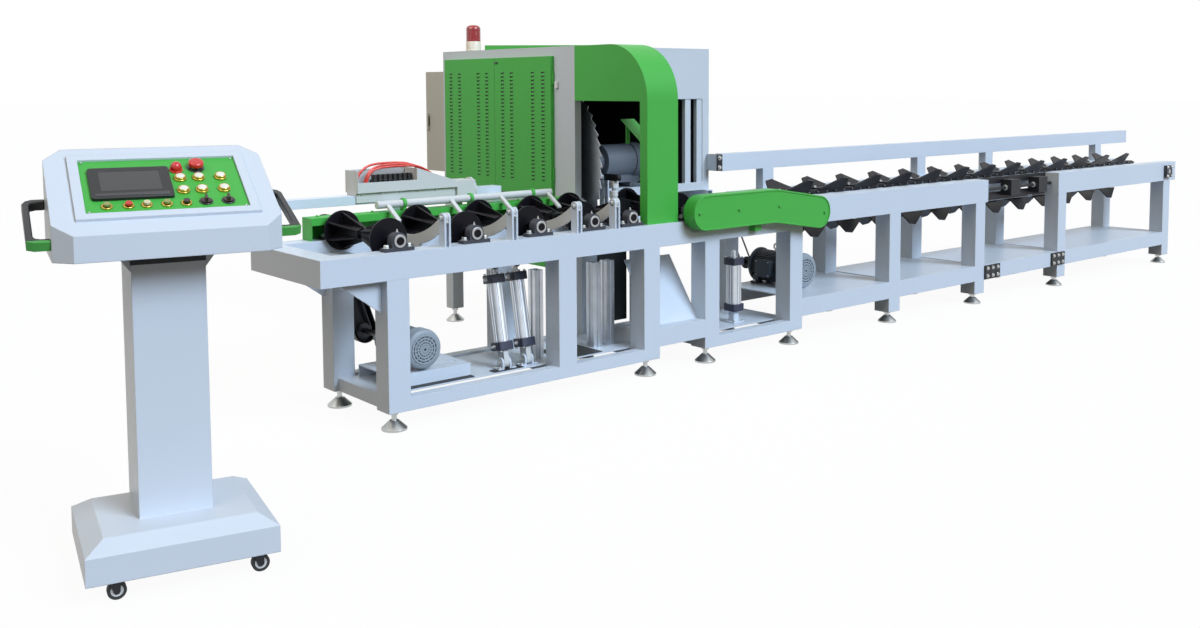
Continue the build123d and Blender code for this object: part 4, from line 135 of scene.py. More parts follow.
class Finish:
    """A material that is made once and then shared by its pieces."""

    made: dict[str, bpy.types.Material] = {}
    name: str

    def material(self) -> bpy.types.Material:
        """Return the finish's material, building it on first use."""
        if self.name not in Finish.made:
            material = bpy.data.materials.new(self.name)
            tree = empty_tree(material)
            add_node(tree, "ShaderNodeOutputMaterial", {"Surface": self.surface(tree)})
            Finish.made[self.name] = material
        return Finish.made[self.name]

    def surface(self, tree: Tree) -> Socket:
        """Build the shader.

        Args:
            tree: empty node tree of the material.

        Returns:
            The shader's output socket.
        """
        raise NotImplementedError


@dataclass(frozen=True)
class PowderCoat(Finish):
    """Baked powder coat on steel: an even skin with fine orange peel, paler on its corners, partly from rubbed
    wear and partly a painted highlight.
    """

    name: str
    colour: str
    edge_wear_and_highlight: str
    roughness: float = 0.36
    peel_mm: float = 5.0
    corner_mm: float = 3.0
    cloud_mm: float = 700.0
    grit_mm: float = 40.0
    shade: float = 0.05
    wear_and_highlight: float = 0.6
    sheen: float = 0.3
    corner_bend: Flat = (0.995, 0.86)
    spread: Flat = (-0.06, 0.10)
    relief: Flat = (0.10, 0.0004)

    def surface(self, tree: Tree) -> Socket:
        """Build the coat: cloudy tone, orange peel and paler corners, partly rubbed wear and partly painted
        highlight.

        Args:
            tree: empty node tree of the material.

        Returns:
            The shader's output socket.
        """
        full = linear(self.colour)
        where = add_node(tree, COORDS, out="Object")
        clouds = add_node(tree, NOISE, {"Vector": where, "Scale": repeats(self.cloud_mm), "Detail": 4.0})
        tone = add_node(tree, MIX, {"Fac": clouds, "Color1": scaled(full, 1 - self.shade), "Color2": full})
        corner = add_node(tree, BEVEL, {"Radius": self.corner_mm / MM_PER_M}, samples=4)
        flat = add_node(tree, "ShaderNodeNewGeometry", out="Normal")
        bend = add_node(tree, "ShaderNodeVectorMath", {0: corner, 1: flat}, out="Value", operation="DOT_PRODUCT")
        # The corner mask below paints paler corners: partly rubbed wear, partly a painted highlight on the edges.
        slight, sharp = self.corner_bend
        edge = add_node(tree, RANGE, {"Value": bend, "From Min": slight, "From Max": sharp, "To Max": self.wear_and_highlight})
        grit = add_node(tree, NOISE, {"Vector": where, "Scale": repeats(self.grit_mm), "Detail": 6.0})
        edge_wear_and_highlight = add_node(tree, MATHS, {0: edge, 1: grit}, operation="MULTIPLY")
        colour = add_node(tree, MIX, {"Fac": edge_wear_and_highlight, "Color1": tone, "Color2": linear(self.edge_wear_and_highlight)})
        low, high = (self.roughness + change for change in self.spread)
        gloss = add_node(tree, RANGE, {"Value": grit, "To Min": low, "To Max": high})
        peel = add_node(tree, NOISE, {"Vector": where, "Scale": repeats(self.peel_mm)})
        strength, depth = self.relief
        bumps = {"Height": peel, "Strength": strength, "Distance": depth, "Normal": corner}
        feeds = {"Base Color": colour, "Normal": add_node(tree, BUMP, bumps), "Roughness": gloss,
                 "Specular IOR Level": self.sheen}
        return add_node(tree, SHADER, feeds)


class Lay(Enum):
    """Direction of a machined surface's fine lines."""

    AROUND = (1.0, 40.0, 1.0)
    LENGTHWISE = (0.02, 1.0, 1.0)
    EVEN = (1.0, 1.0, 1.0)


@dataclass(frozen=True)
class BareMetal(Finish):
    """Turned, ground or drawn metal: fine lines along its lay, with dull smears of oil."""

    name: str
    colour: str
    roughness: float = 0.28
    lay: Lay = Lay.EVEN
    line_mm: float = 2.5
    smear_mm: float = 60.0
    smear: float = 0.72
    corner_mm: float = 1.5
    spread: Flat = (-0.08, 0.12)
    relief: Flat = (0.08, 0.0003)

    def surface(self, tree: Tree) -> Socket:
        """Build the metal: stretched line noise for gloss and relief, smears for tone.

        Args:
            tree: empty node tree of the material.

        Returns:
            The shader's output socket.
        """
        full = linear(self.colour)
        where = add_node(tree, COORDS, out="Object")
        along = add_node(tree, "ShaderNodeMapping", {"Vector": where, "Scale": self.lay.value})
        lines = add_node(tree, NOISE, {"Vector": along, "Scale": repeats(self.line_mm), "Detail": 3.0})
        smears = add_node(tree, NOISE, {"Vector": where, "Scale": repeats(self.smear_mm), "Detail": 5.0})
        tone = add_node(tree, MIX, {"Fac": smears, "Color1": scaled(full, self.smear), "Color2": full})
        low, high = (self.roughness + change for change in self.spread)
        gloss = add_node(tree, RANGE, {"Value": lines, "To Min": low, "To Max": high})
        corner = add_node(tree, BEVEL, {"Radius": self.corner_mm / MM_PER_M}, samples=4)
        strength, depth = self.relief
        bumps = {"Height": lines, "Strength": strength, "Distance": depth, "Normal": corner}
        feeds = {"Base Color": tone, "Metallic": 1.0, "Roughness": gloss, "Normal": add_node(tree, BUMP, bumps)}
        return add_node(tree, SHADER, feeds)


@dataclass(frozen=True)
class Moulding(Finish):
    """Injection-moulded plastic or rubber: a spark-eroded grain and a soft sheen."""

    name: str
    colour: str
    roughness: float = 0.42
    grain_mm: float = 2.0
    coat: float = 0.0
    detail: float = 3.0
    tones: Flat = (0.86, 1.0)
    corner_mm: float = 1.0
    relief: Flat = (0.12, 0.0003)
    ior: float = 1.49

    def surface(self, tree: Tree) -> Socket:
        """Build the skin: grain in the relief and in the tone, with an optional lacquer.

        Args:
            tree: empty node tree of the material.

        Returns:
            The shader's output socket.
        """
        full = linear(self.colour)
        where = add_node(tree, COORDS, out="Object")
        grain = add_node(tree, NOISE, {"Vector": where, "Scale": repeats(self.grain_mm), "Detail": self.detail})
        dark, bright = (scaled(full, share) for share in self.tones)
        tone = add_node(tree, MIX, {"Fac": grain, "Color1": dark, "Color2": bright})
        corner = add_node(tree, BEVEL, {"Radius": self.corner_mm / MM_PER_M}, samples=4)
        strength, depth = self.relief
        bumps = {"Height": grain, "Strength": strength, "Distance": depth, "Normal": corner}
        feeds = {"Base Color": tone, "Roughness": self.roughness, "Normal": add_node(tree, BUMP, bumps),
                 "IOR": self.ior, "Coat Weight": self.coat}
        return add_node(tree, SHADER, feeds)


@dataclass(frozen=True)
class CastSkin(Moulding):
    """Sand-cast housing under one coat of paint: a coarser grain with a dull sheen."""

    roughness: float = 0.55
    grain_mm: float = 4.0
    detail: float = 6.0
    tones: Flat = (0.8, 1.35)
    corner_mm: float = 4.0
    relief: Flat = (0.35, 0.0008)
    ior: float = 1.5


# Powder coat on box section and sheet gives even, slightly glossy colours.
GREY_COAT = PowderCoat("powder_coat_pale_grey", "#CBD6E2", "#EEF2F6")
CABINET_COAT = PowderCoat("powder_coat_cabinet_grey", "#C6CFD8", "#E4E8EC", roughness=0.42)
CONSOLE_COAT = PowderCoat("powder_coat_console_grey", "#CDD6E0", "#EFF2F5", corner_mm=4.0)
GREEN_COAT = PowderCoat("powder_coat_leaf_green", "#45AC45", "#7CCB74", roughness=0.40)
BEIGE_COAT = PowderCoat("powder_coat_beige", "#BFBFB6", "#DEDCD3", roughness=0.5, peel_mm=3.0)
CREST_COAT = PowderCoat("powder_coat_cradle_grey", "#C9CCCB", "#E8E9E6", roughness=0.44)
BLACK_ENAMEL = PowderCoat("stoved_black_enamel", "#17151A", "#8A8C90", roughness=0.30, wear_and_highlight=0.5)
ROLLER_ENAMEL = PowderCoat("stoved_roller_enamel", "#121116", "#7C7E82", roughness=0.32, wear_and_highlight=0.5, sheen=0.12)
BLACK_COAT = PowderCoat("powder_coat_black", "#1B1C20", "#4A4B50", roughness=0.42)
SLIDE_COAT = PowderCoat("powder_coat_slide_grey", "#6E747C", "#9AA0A6", roughness=0.42)
# Dark sheet: the motor fans' own colour, and painted shade on the sheet between the back legs, the cabinet's
# inside and the band under the console head.
DARK_SHEET = PowderCoat("dark_sheet_and_painted_shade", "#26292C", "#3A3D40", roughness=0.6)
COWL_GREY = PowderCoat("pressed_cowl_grey", "#95A0A9", "#B9C1C8", roughness=0.40)
# Bare, plated and drawn metals give small bright lights among the paint.
TURNED_STEEL = BareMetal("turned_steel", "#B9BBBD", roughness=0.26, lay=Lay.AROUND)
GROUND_STEEL = BareMetal("ground_saw_steel", "#A9ADB2", roughness=0.30, line_mm=4.0)
ZINC_PLATE = BareMetal("zinc_plated_steel", "#C6C9C8", roughness=0.32)
DARK_PLATE = BareMetal("dark_plated_steel", "#3A3C40", roughness=0.38)
OILED_CHAIN = BareMetal("oiled_chain_steel", "#4A4B4E", roughness=0.38)
DRAWN_ALLOY = BareMetal("drawn_aluminium", "#D9DEE4", roughness=0.36, lay=Lay.LENGTHWISE)
BRASS = BareMetal("lacquered_brass", "#D8B45C", roughness=0.24)
# Castings give a dull, grainy skin.
CAST_BEARING = CastSkin("cast_bearing_iron", "#2B2E35")
CAST_MOTOR = CastSkin("cast_motor_grey", "#7E888E", roughness=0.48)
CAST_DRIVE = CastSkin("cast_motor_slate", "#2E3740", roughness=0.45)
CAP_NAVY = CastSkin("painted_cylinder_cap", "#2A2F42", roughness=0.40)
# Plastics and rubber give even, soft colours.
BLACK_PLASTIC = Moulding("moulded_black_nylon", "#1A1B1E")
GREEN_PLASTIC = Moulding("moulded_green_nylon", "#3C9A3E")
# The tyre rubber also colours the dark patches on the floor sheets, which are painted shade.
TYRE_RUBBER = Moulding("caster_tyre_rubber", "#2A2B2D", roughness=0.6)
RED_HOSE = Moulding("extruded_red_polyurethane", "#D5301F", roughness=0.3, coat=0.3)
RED_LENS = Moulding("red_polycarbonate", "#9E1219", roughness=0.14, coat=0.8)
CREAM_PLASTIC = Moulding("moulded_cream_abs", "#DDD6C4", roughness=0.38)
WHITE_PLASTIC = Moulding("moulded_white_acetal", "#E6E8E8", roughness=0.36)
STOP_RED = Moulding("moulded_stop_red", "#D11A18", roughness=0.25, coat=0.5)
SCREEN_GLASS = Moulding("dark_screen_glass", "#0C1016", roughness=0.10, coat=0.6)
LAMP_WHITE = Moulding("frosted_lamp_white", "#EDEBDD", roughness=0.25, coat=0.5)
BUTTON_DARK = Moulding("moulded_button_dark", "#27282C", roughness=0.28, coat=0.4)
BUTTON_OLIVE = Moulding("moulded_button_olive", "#8E9A52", roughness=0.28, coat=0.4)
BUTTON_CREAM = Moulding("moulded_button_cream", "#D6CDA6", roughness=0.28, coat=0.4)
BUTTON_WINE = Moulding("moulded_button_wine", "#2E1013", roughness=0.28, coat=0.4)

FINISHED_NODES: tuple[tuple[Finish, tuple[str, ...]], ...] = (
    (GREY_COAT, ("main_frame", "conveyor_frame", "fence_rail")),
    (ZINC_PLATE, ("levelling_feet",)),
    (CAST_BEARING, ("roller_bearings",)),
    (GREEN_COAT, ("roller_chain_guard", "drive_chain_guard", "cabinet_door_front", "cabinet_door_rear",
                  "arch_hood", "control_panel")),
    (OILED_CHAIN, ("drive_chains", "infeed_sprocket", "outfeed_sprocket")),
    (BLACK_COAT, ("infeed_drive_guard", "clamp_arm", "chain_tensioner")),
    (CREST_COAT, ("kicker_arms", "ejector_shaft", "pusher_carriage")),
    (TURNED_STEEL, ("kicker_rods", "saw_spindle", "head_shaft", "tail_shaft")),
    (CABINET_COAT, ("saw_cabinet",)),
    (SLIDE_COAT, ("saw_carriage",)),
    (GROUND_STEEL, ("saw_blade",)),
    (BEIGE_COAT, ("electrical_cabinet", "electrical_door")),
    (BLACK_ENAMEL, ("upper_flights", "lower_flights")),
    (CONSOLE_COAT, ("console_stand", "console_head")),
    (BLACK_PLASTIC, ("side_handles",)),
    (STOP_RED, ("emergency_stop", "push_button_2")),
    (BUTTON_OLIVE, ("push_button_1", "push_button_4")),
    (BUTTON_CREAM, ("push_button_3",)),
    (BUTTON_WINE, ("push_button_5", "selector_1", "selector_2")),
    (DARK_PLATE, ("caster_fork_left", "caster_fork_right")),
    (DRAWN_ALLOY, ("air_cylinders", "kicker_cylinders")),
    (CAST_MOTOR, ("infeed_motor",)),
    (CAST_DRIVE, ("outfeed_motor",)),
    (RED_HOSE, ("air_hoses",)),
    (RED_LENS, ("beacon",)),
    (ROLLER_ENAMEL, tuple(f"roller_{i}" for i in range(1, 7))),
    (TYRE_RUBBER, tuple(f"caster_wheel_{i}" for i in range(1, 5))),
)


def shifted(x: float, y: float, z: float) -> Matrix:
    """Return a move."""
    return Matrix.Translation((x, y, z))


def turned(angle_deg: float, axis: str) -> Matrix:
    """Return a turn about one of the axes."""
    return Matrix.Rotation(math.radians(angle_deg), 4, axis)


CONSOLE_PLACE = shifted(-1.286, -0.837, 0) @ turned(-11.7, "Z")
CORNER_STEPS = 4
ARCH_STEPS = 16


def corners(across: float, up: float) -> Outline:
    """Return the four corners of a rectangle about the origin, from its half sizes."""
    return [(u, v) for u in (-across, across) for v in (-up, up)]


def rounded(width: float, height: float, radius: float, at: Flat = (0.0, 0.0)) -> Outline:
    """Return the outline of a rectangle with round corners.

    Args:
        width: size across.
        height: size up.
        radius: corner radius.
        at: middle of the rectangle.

    Returns:
        Corners in order.
    """
    outline = []
    for sx, sy, start in ((1, 1, 0), (-1, 1, 90), (-1, -1, 180), (1, -1, 270)):
        cx, cy = sx * (width / 2 - radius), sy * (height / 2 - radius)
        for i in range(CORNER_STEPS + 1):
            angle = math.radians(start + 90 * i / CORNER_STEPS)
            u, v = cx + radius * math.cos(angle), cy + radius * math.sin(angle)
            outline.append((at[0] + u, at[1] + v))
    return outline


def half_round(radius: float, start_deg: float, at: Flat = (0.0, 0.0)) -> Outline:
    """Return the points of a half circle that starts at an angle."""
    angles = [math.radians(start_deg + 180 * i / ARCH_STEPS) for i in range(ARCH_STEPS + 1)]
    return [(at[0] + radius * math.cos(a), at[1] + radius * math.sin(a)) for a in angles]


def arch(centre: Flat, radius: float, floor: float) -> Outline:
    """Return the outline of a plate with a half-round top that stands on a floor."""
    x = centre[0]
    return [(x + radius, floor)] + half_round(radius, 0, centre) + [(x - radius, floor)]


def capsule(path: Profile, radius: float, steps: int = 14) -> Outline:
    """Return the outline at a distance round an open path, with round ends and outer bends.

    Args:
        path: points of the path.
        radius: distance from the path.
        steps: facets per half circle.

    Returns:
        Corners in order.
    """
    outline = []
    there_and_back = list(path) + list(reversed(path[1:-1]))
    count = len(there_and_back)
    for i, (x, y) in enumerate(there_and_back):
        before, after = there_and_back[i - 1], there_and_back[(i + 1) % count]
        first = math.atan2(y - before[1], x - before[0]) - math.pi / 2
        second = math.atan2(after[1] - y, after[0] - x) - math.pi / 2
        turn = (second - first + math.pi) % TAU - math.pi
        if before == after:
            turn = math.pi
        if turn >= 0:
            parts = max(1, round(steps * turn / math.pi))
            for k in range(parts + 1):
                angle = first + turn * k / parts
                outline.append((x + radius * math.cos(angle), y + radius * math.sin(angle)))
        else:
            reach = radius / math.cos(turn / 2)
            angle = first + turn / 2
            outline.append((x + reach * math.cos(angle), y + reach * math.sin(angle)))
    return outline


class Plane(Enum):
    """Plane an outline is drawn in; it runs along the axis that is left."""

    XY = "z"
    YZ = "x"
    XZ = "y"

    def point(self, u: float, v: float, along: float) -> Point:
        """Return the point at (u, v) in the plane and a distance along its axis."""
        places = {Plane.XY: (u, v, along), Plane.YZ: (along, u, v), Plane.XZ: (u, along, v)}
        return places[self]


class Form:
    """Gathers simple solids into one mesh, in metres, and hands it over as a piece."""

    TIP = 1e-6
    HOOP_FACETS = 10
    SMOOTH_DEG, BROKEN_DEG = 35, 40

    def __init__(self, local: Matrix | None = None) -> None:
        """Start an empty form, in a frame of its own where one is given."""
        self.mesh = bmesh.new()
        self.local = local or Matrix.Identity(4)

    def vert(self, point: Point) -> bmesh.types.BMVert:
        """Add a corner given in the local frame."""
        return self.mesh.verts.new(self.local @ Vector(point))

    def band(self, loops: list[list[bmesh.types.BMVert]], closed: bool) -> None:
        """Join neighbouring loops of corners with faces.

        Args:
            loops: loops in order; a loop of one corner is a tip.
            closed: whether the last loop joins the first; if not, both ends are capped.
        """
        following = loops[1:] + loops[:1] if closed else loops[1:]
        for first, second in zip(loops, following):
            for i in range(max(len(first), len(second))):
                ring = [first[i % len(first)], first[(i + 1) % len(first)],
                        second[(i + 1) % len(second)], second[i % len(second)]]
                face = [v for k, v in enumerate(ring) if v not in ring[:k]]
                if len(face) > 2:
                    self.mesh.faces.new(face)
        for loop in () if closed else (loops[0], loops[-1]):
            if len(loop) > 1:
                self.mesh.faces.new(loop)

    def prism(self, outline: Outline, span: Sequence[float], plane: Plane = Plane.XY) -> None:
        """Extrude an outline along the axis its plane leaves.

        Args:
            outline: corners in order.
            span: where the extrusion starts and ends.
            plane: plane the outline is drawn in.
        """
        self.band([[self.vert(plane.point(u, v, along)) for u, v in outline] for along in span], False)

    def collar(self, outer: Outline, inner: Outline, span: Flat, plane: Plane = Plane.XY) -> None:
        """Extrude the band between two outlines of the same count.

        Args:
            outer: outside corners in order.
            inner: inside corners in the same order.
            span: where the extrusion starts and ends.
            plane: plane the outlines are drawn in.
        """
        low, high = span
        runs = ((outer, low), (outer, high), (inner, high), (inner, low))
        self.band([[self.vert(plane.point(u, v, along)) for u, v in outline] for outline, along in runs], True)

    def block(self, low: Point, high: Point) -> None:
        """Add a box between two corners."""
        outline = [(low[0], low[1]), (high[0], low[1]), (high[0], high[1]), (low[0], high[1])]
        self.prism(outline, (low[2], high[2]))

    def lathe(self, start: Point, axis: Point, profile: Profile, sides: int = 32, closed: bool = False) -> None:
        """Turn a profile of (distance along the axis, radius) round an axis.

        Args:
            start: point where the distance is zero.
            axis: direction of the axis.
            profile: points from one end to the other; a radius of zero closes an end.
            sides: facets round the axis.
            closed: whether the profile's last point joins its first.
        """
        turn = Vector(UP).rotation_difference(Vector(axis)).to_matrix()
        loops = []
        for along, radius in profile:
            count = sides if radius > self.TIP else 1
            angles = [TAU * i / count for i in range(count)]
            spots = [Vector((radius * math.cos(a), radius * math.sin(a), along)) for a in angles]
            loops.append([self.vert(Vector(start) + turn @ spot) for spot in spots])
        self.band(loops, closed)

    def rod(self, start: Point, end: Point, radius: float, sides: int = 24) -> None:
        """Add a round bar with broken ends.

        Args:
            start: middle of one end.
            end: middle of the other end.
            radius: radius of the bar.
            sides: facets round the bar.
        """
        run = Vector(end) - Vector(start)
        far = run.length
        edge = min(radius * 0.12, far * 0.2)
        profile = ((0, radius - edge), (edge, radius), (far - edge, radius), (far, radius - edge))
        self.lathe(start, tuple(run.normalized()), profile, sides)

    def ring(self, start: Point, axis: Point, inner: float, outer: float, depth: float, sides: int = 32) -> None:
        """Add a flat ring that stands off a face.

        Args:
            start: ring centre on the face.
            axis: direction off the face.
            inner: hole radius.
            outer: outside radius.
            depth: height off the face.
            sides: facets round the ring.
        """
        edge = min(depth, outer - inner) * 0.2
        section = ((0, inner), (0, outer), (depth - edge, outer), (depth, outer - edge), (depth, inner + edge),
                   (depth - edge, inner))
        self.lathe(start, axis, section, sides, closed=True)

    def hoop(self, centre: Point, axis: Point, radius: float, thick: float, sides: int = 24) -> None:
        """Add a round bar bent into a closed hoop.

        Args:
            centre: middle of the hoop.
            axis: direction square to the hoop.
            radius: from the centre to the middle of the bar.
            thick: radius of the bar.
            sides: facets round the hoop.
        """
        angles = [TAU * k / self.HOOP_FACETS for k in range(self.HOOP_FACETS)]
        section = tuple((thick * math.sin(a), radius + thick * math.cos(a)) for a in angles)
        self.lathe(centre, axis, section, sides, closed=True)

    def bolt(self, seat: Point, axis: Point, across: float, height: float) -> None:
        """Add a hex head on a washer.

        Args:
            seat: centre of the washer on its face.
            axis: direction off the face.
            across: width of the head.
            height: height of the head.
        """
        washer, rim, point = across * 0.13, across * 0.85, across * 0.577
        self.lathe(seat, axis, ((0, rim), (washer, rim)), 20)
        top = Vector(seat) + Vector(axis).normalized() * washer
        self.lathe(tuple(top), axis, ((0, point), (height * 0.8, point), (height, across * 0.5)), 6)

    def screw(self, seat: Point, axis: Point, radius: float) -> None:
        """Add a socket-head screw with its hexagon socket.

        Args:
            seat: centre of the head on its face.
            axis: direction off the face.
            radius: radius of the head.
        """
        high = radius * 1.1
        self.lathe(seat, axis, ((0, radius), (high * 0.9, radius), (high, radius * 0.88)), 20)
        face = Vector(seat) + Vector(axis).normalized() * high
        self.ring(tuple(face), axis, radius * 0.45, radius * 0.86, radius * 0.12, 6)

    def piece(self, name: str, finish: Finish, body: str, bevel: float = 0.0) -> bpy.types.Object:
        """Turn the form into a piece that rides on a body.

        Args:
            name: the piece's name.
            finish: its finish.
            body: name of the body it moves with.
            bevel: width of its broken edges, or zero.

        Returns:
            The new object.
        """
        bmesh.ops.recalc_face_normals(self.mesh, faces=self.mesh.faces[:])
        data = bpy.data.meshes.new(name)
        self.mesh.to_mesh(data)
        self.mesh.free()
        obj = bpy.data.objects.new(name, data)
        show(obj)
        data.materials.append(finish.material())
        data.shade_smooth()
        data.set_sharp_from_angle(angle=math.radians(self.SMOOTH_DEG))
        if bevel:
            broken = obj.modifiers.new("broken_edges", "BEVEL")
            broken.width = bevel
            broken.segments = 2
            broken.limit_method = "ANGLE"
            broken.angle_limit = math.radians(self.BROKEN_DEG)
        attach(obj, body)
        log.info("%s rides on %s", name, body)
        return obj


def dress_nodes() -> None:
    """Give every solid its finish."""
    for finish, nodes in FINISHED_NODES:
        for node in nodes:
            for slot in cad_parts[node].material_slots:
                slot.material = finish.material()


@dataclass(frozen=True)
class Sun:
    """A soft sun: its power, the width of its disc, the way its light travels and its colour."""

    name: str
    power: float
    spread_deg: float
    aim: Point
    colour: Point


@dataclass
class Studio:
    """Camera, floor and plain light."""

    eye: Point = (-2.57135, -4.49376, 1.52032)
    turn_deg: Point = (40.056, 4.2245, -0.265)
    focal_px: float = 1162.25
    image_px: Flat = (1200.0, 628.0)
    centre_row: float = 172.9
    sensor_mm: float = 36.0
    view_reach: float = 200.0
    suns: tuple[Sun, ...] = (Sun("key_sun", 3.45, 30.0, (-0.20, 0.78, -0.58), (0.70, 0.83, 1.0)),
                             Sun("fill_sun", 0.85, 50.0, (0.62, 0.10, -0.78), (1.0, 0.90, 0.78)))
    lamp_at: Point = (-0.5, 1.35, 2.9)
    lamp_aim: Point = (2.1, -0.05, -1.1)
    lamp_power: float = 22.0
    lamp_width: float = 1.4
    sky: float = 0.25
    sky_colour: Quad = (1.0, 0.88, 0.72, 1.0)
    white: Quad = (1.0, 1.0, 1.0, 1.0)
    floor_reach: float = 120.0
    floor_glow: float = 0.95
    floor_pale: Quad = (0.86, 0.86, 0.86, 1.0)
    floor_dull: Quad = (0.16, 0.13, 0.10, 1.0)

    def camera(self) -> None:
        """Stand the camera where the photograph was taken from."""
        yaw, pitch, roll = (math.radians(a) for a in self.turn_deg)
        level = Vector((math.cos(yaw), -math.sin(yaw), 0))
        flat = Vector((math.sin(yaw), math.cos(yaw), 0))
        ahead = flat * math.cos(pitch) - Vector((0, 0, math.sin(pitch)))
        above = level.cross(ahead)
        right = math.cos(roll) * level + math.sin(roll) * above
        up = math.cos(roll) * above - math.sin(roll) * level
        lens = bpy.data.cameras.new("camera")
        lens.sensor_width = self.sensor_mm
        lens.lens = self.focal_px / self.image_px[0] * lens.sensor_width
        lens.shift_y = (self.centre_row - self.image_px[1] / 2) / self.image_px[0]
        lens.clip_end = self.view_reach
        camera = bpy.data.objects.new("camera", lens)
        camera.matrix_world = shifted(*self.eye) @ Matrix((right, up, -ahead)).transposed().to_4x4()
        show(camera)
        bpy.context.scene.camera = camera

    def seen(self, tree: Tree) -> Socket:
        """Return a socket that is 1 for rays the viewer sees, straight, mirrored or through glass.

        Args:
            tree: node tree to add to.

        Returns:
            The socket.
        """
        kinds = ("Is Camera Ray", "Is Glossy Ray", "Is Transmission Ray")
        seen, *others = (add_node(tree, "ShaderNodeLightPath", out=kind) for kind in kinds)
        for other in others:
            seen = add_node(tree, MATHS, {0: seen, 1: other}, operation="MAXIMUM")
        return seen

    def floor(self) -> None:
        """Lay a wide white floor that keeps the object's shadow."""
        reach = self.floor_reach
        data = bpy.data.meshes.new("floor")
        outline = [(-reach, -reach, 0), (reach, -reach, 0), (reach, reach, 0), (-reach, reach, 0)]
        data.from_pydata(outline, [], [(0, 1, 2, 3)])
        floor = bpy.data.objects.new("floor", data)
        show(floor)
        material = bpy.data.materials.new("white_floor")
        tree = empty_tree(material)
        dull = add_node(tree, "ShaderNodeBsdfDiffuse", {"Color": self.floor_dull})
        pale = add_node(tree, "ShaderNodeBsdfDiffuse", {"Color": self.floor_pale})
        glow = add_node(tree, "ShaderNodeEmission", {"Color": self.white, "Strength": 1.0})
        bright = add_node(tree, BLEND, {0: self.floor_glow, 1: pale, 2: glow})
        mix = add_node(tree, BLEND, {0: self.seen(tree), 1: dull, 2: bright})
        add_node(tree, "ShaderNodeOutputMaterial", {"Surface": mix})
        data.materials.append(material)

    def hang(self, lamp: bpy.types.Light, aim: Point, at: Point = (0.0, 0.0, 0.0)) -> None:
        """Hang a lamp in the scene.

        Args:
            lamp: the lamp.
            aim: direction its light travels in.
            at: where it hangs.
        """
        holder = bpy.data.objects.new(lamp.name, lamp)
        holder.location = at
        holder.rotation_mode = "QUATERNION"
        holder.rotation_quaternion = Vector(DOWN).rotation_difference(Vector(aim))
        show(holder)

    def lights(self) -> None:
        """Set a pale world, two soft suns and one wide lamp that lights the saw's side."""
        world = bpy.data.worlds.new("pale_world")
        bpy.context.scene.world = world
        tree = empty_tree(world)
        soft = add_node(tree, "ShaderNodeBackground", {"Color": self.sky_colour, "Strength": self.sky})
        bright = add_node(tree, "ShaderNodeBackground", {"Color": self.white, "Strength": 1.0})
        mix = add_node(tree, BLEND, {0: self.seen(tree), 1: soft, 2: bright})
        add_node(tree, "ShaderNodeOutputWorld", {"Surface": mix})
        for sun in self.suns:
            disc = bpy.data.lights.new(sun.name, "SUN")
            disc.energy = sun.power
            disc.angle = math.radians(sun.spread_deg)
            disc.color = sun.colour
            self.hang(disc, sun.aim)
        lamp = bpy.data.lights.new("side_lamp", "AREA")
        lamp.energy = self.lamp_power
        lamp.size = self.lamp_width
        self.hang(lamp, self.lamp_aim, self.lamp_at)
        bpy.context.scene.view_settings.view_transform = "Standard"

    def build(self) -> None:
        """Set up the whole studio."""
        self.camera()
        self.floor()
        self.lights()


@dataclass
class Bearings:
    """Bolts, inner rings and grease nipples of the pillow blocks and flange units."""

    roller_x: tuple[float, ...] = (0.031, 0.440, 0.812, 1.150, 1.410, 1.835)
    rail_y: Flat = (0.0, 0.590)
    axis_z: float = 0.846
    base_top: float = 0.816
    bolt_reach: float = 0.056
    bolt: Flat = (0.022, 0.012)
    half_depth: float = 0.022
    ring: Point = (0.0177, 0.030, 0.007)
    nipple_rise: float = 0.036
    nipple: Profile = ((0, 0.006), (0.006, 0.006), (0.008, 0.003), (0.014, 0.003), (0.016, 0.0))
    flange_x: Flat = (2.775, 7.450)
    flange_z: float = 0.785
    flange_faces: Flat = (-0.081, 0.596)
    flange_reach: float = 0.038
    flange_bolt: Flat = (0.016, 0.009)

    def build(self) -> None:
        """Make the bearing hardware."""
        bolts, rings, nipples = Form(), Form(), Form()
        for x in self.roller_x:
            for y in self.rail_y:
                for side in SIDES:
                    bolts.bolt((x + side * self.bolt_reach, y, self.base_top), UP, *self.bolt)
                    rings.ring((x, y + side * self.half_depth, self.axis_z), (0, side, 0), *self.ring)
                nipples.lathe((x, y, self.axis_z + self.nipple_rise), UP, self.nipple, 12)
        for x in self.flange_x:
            for y, out in zip(self.flange_faces, (FRONT, BACK)):
                for dx, dz in corners(self.flange_reach, self.flange_reach):
                    bolts.bolt((x + dx, y, self.flange_z + dz), out, *self.flange_bolt)
        bolts.piece("bearing_bolts", ZINC_PLATE, FRAME)
        rings.piece("bearing_inner_rings", TURNED_STEEL, FRAME)
        nipples.piece("grease_nipples", ZINC_PLATE, FRAME)


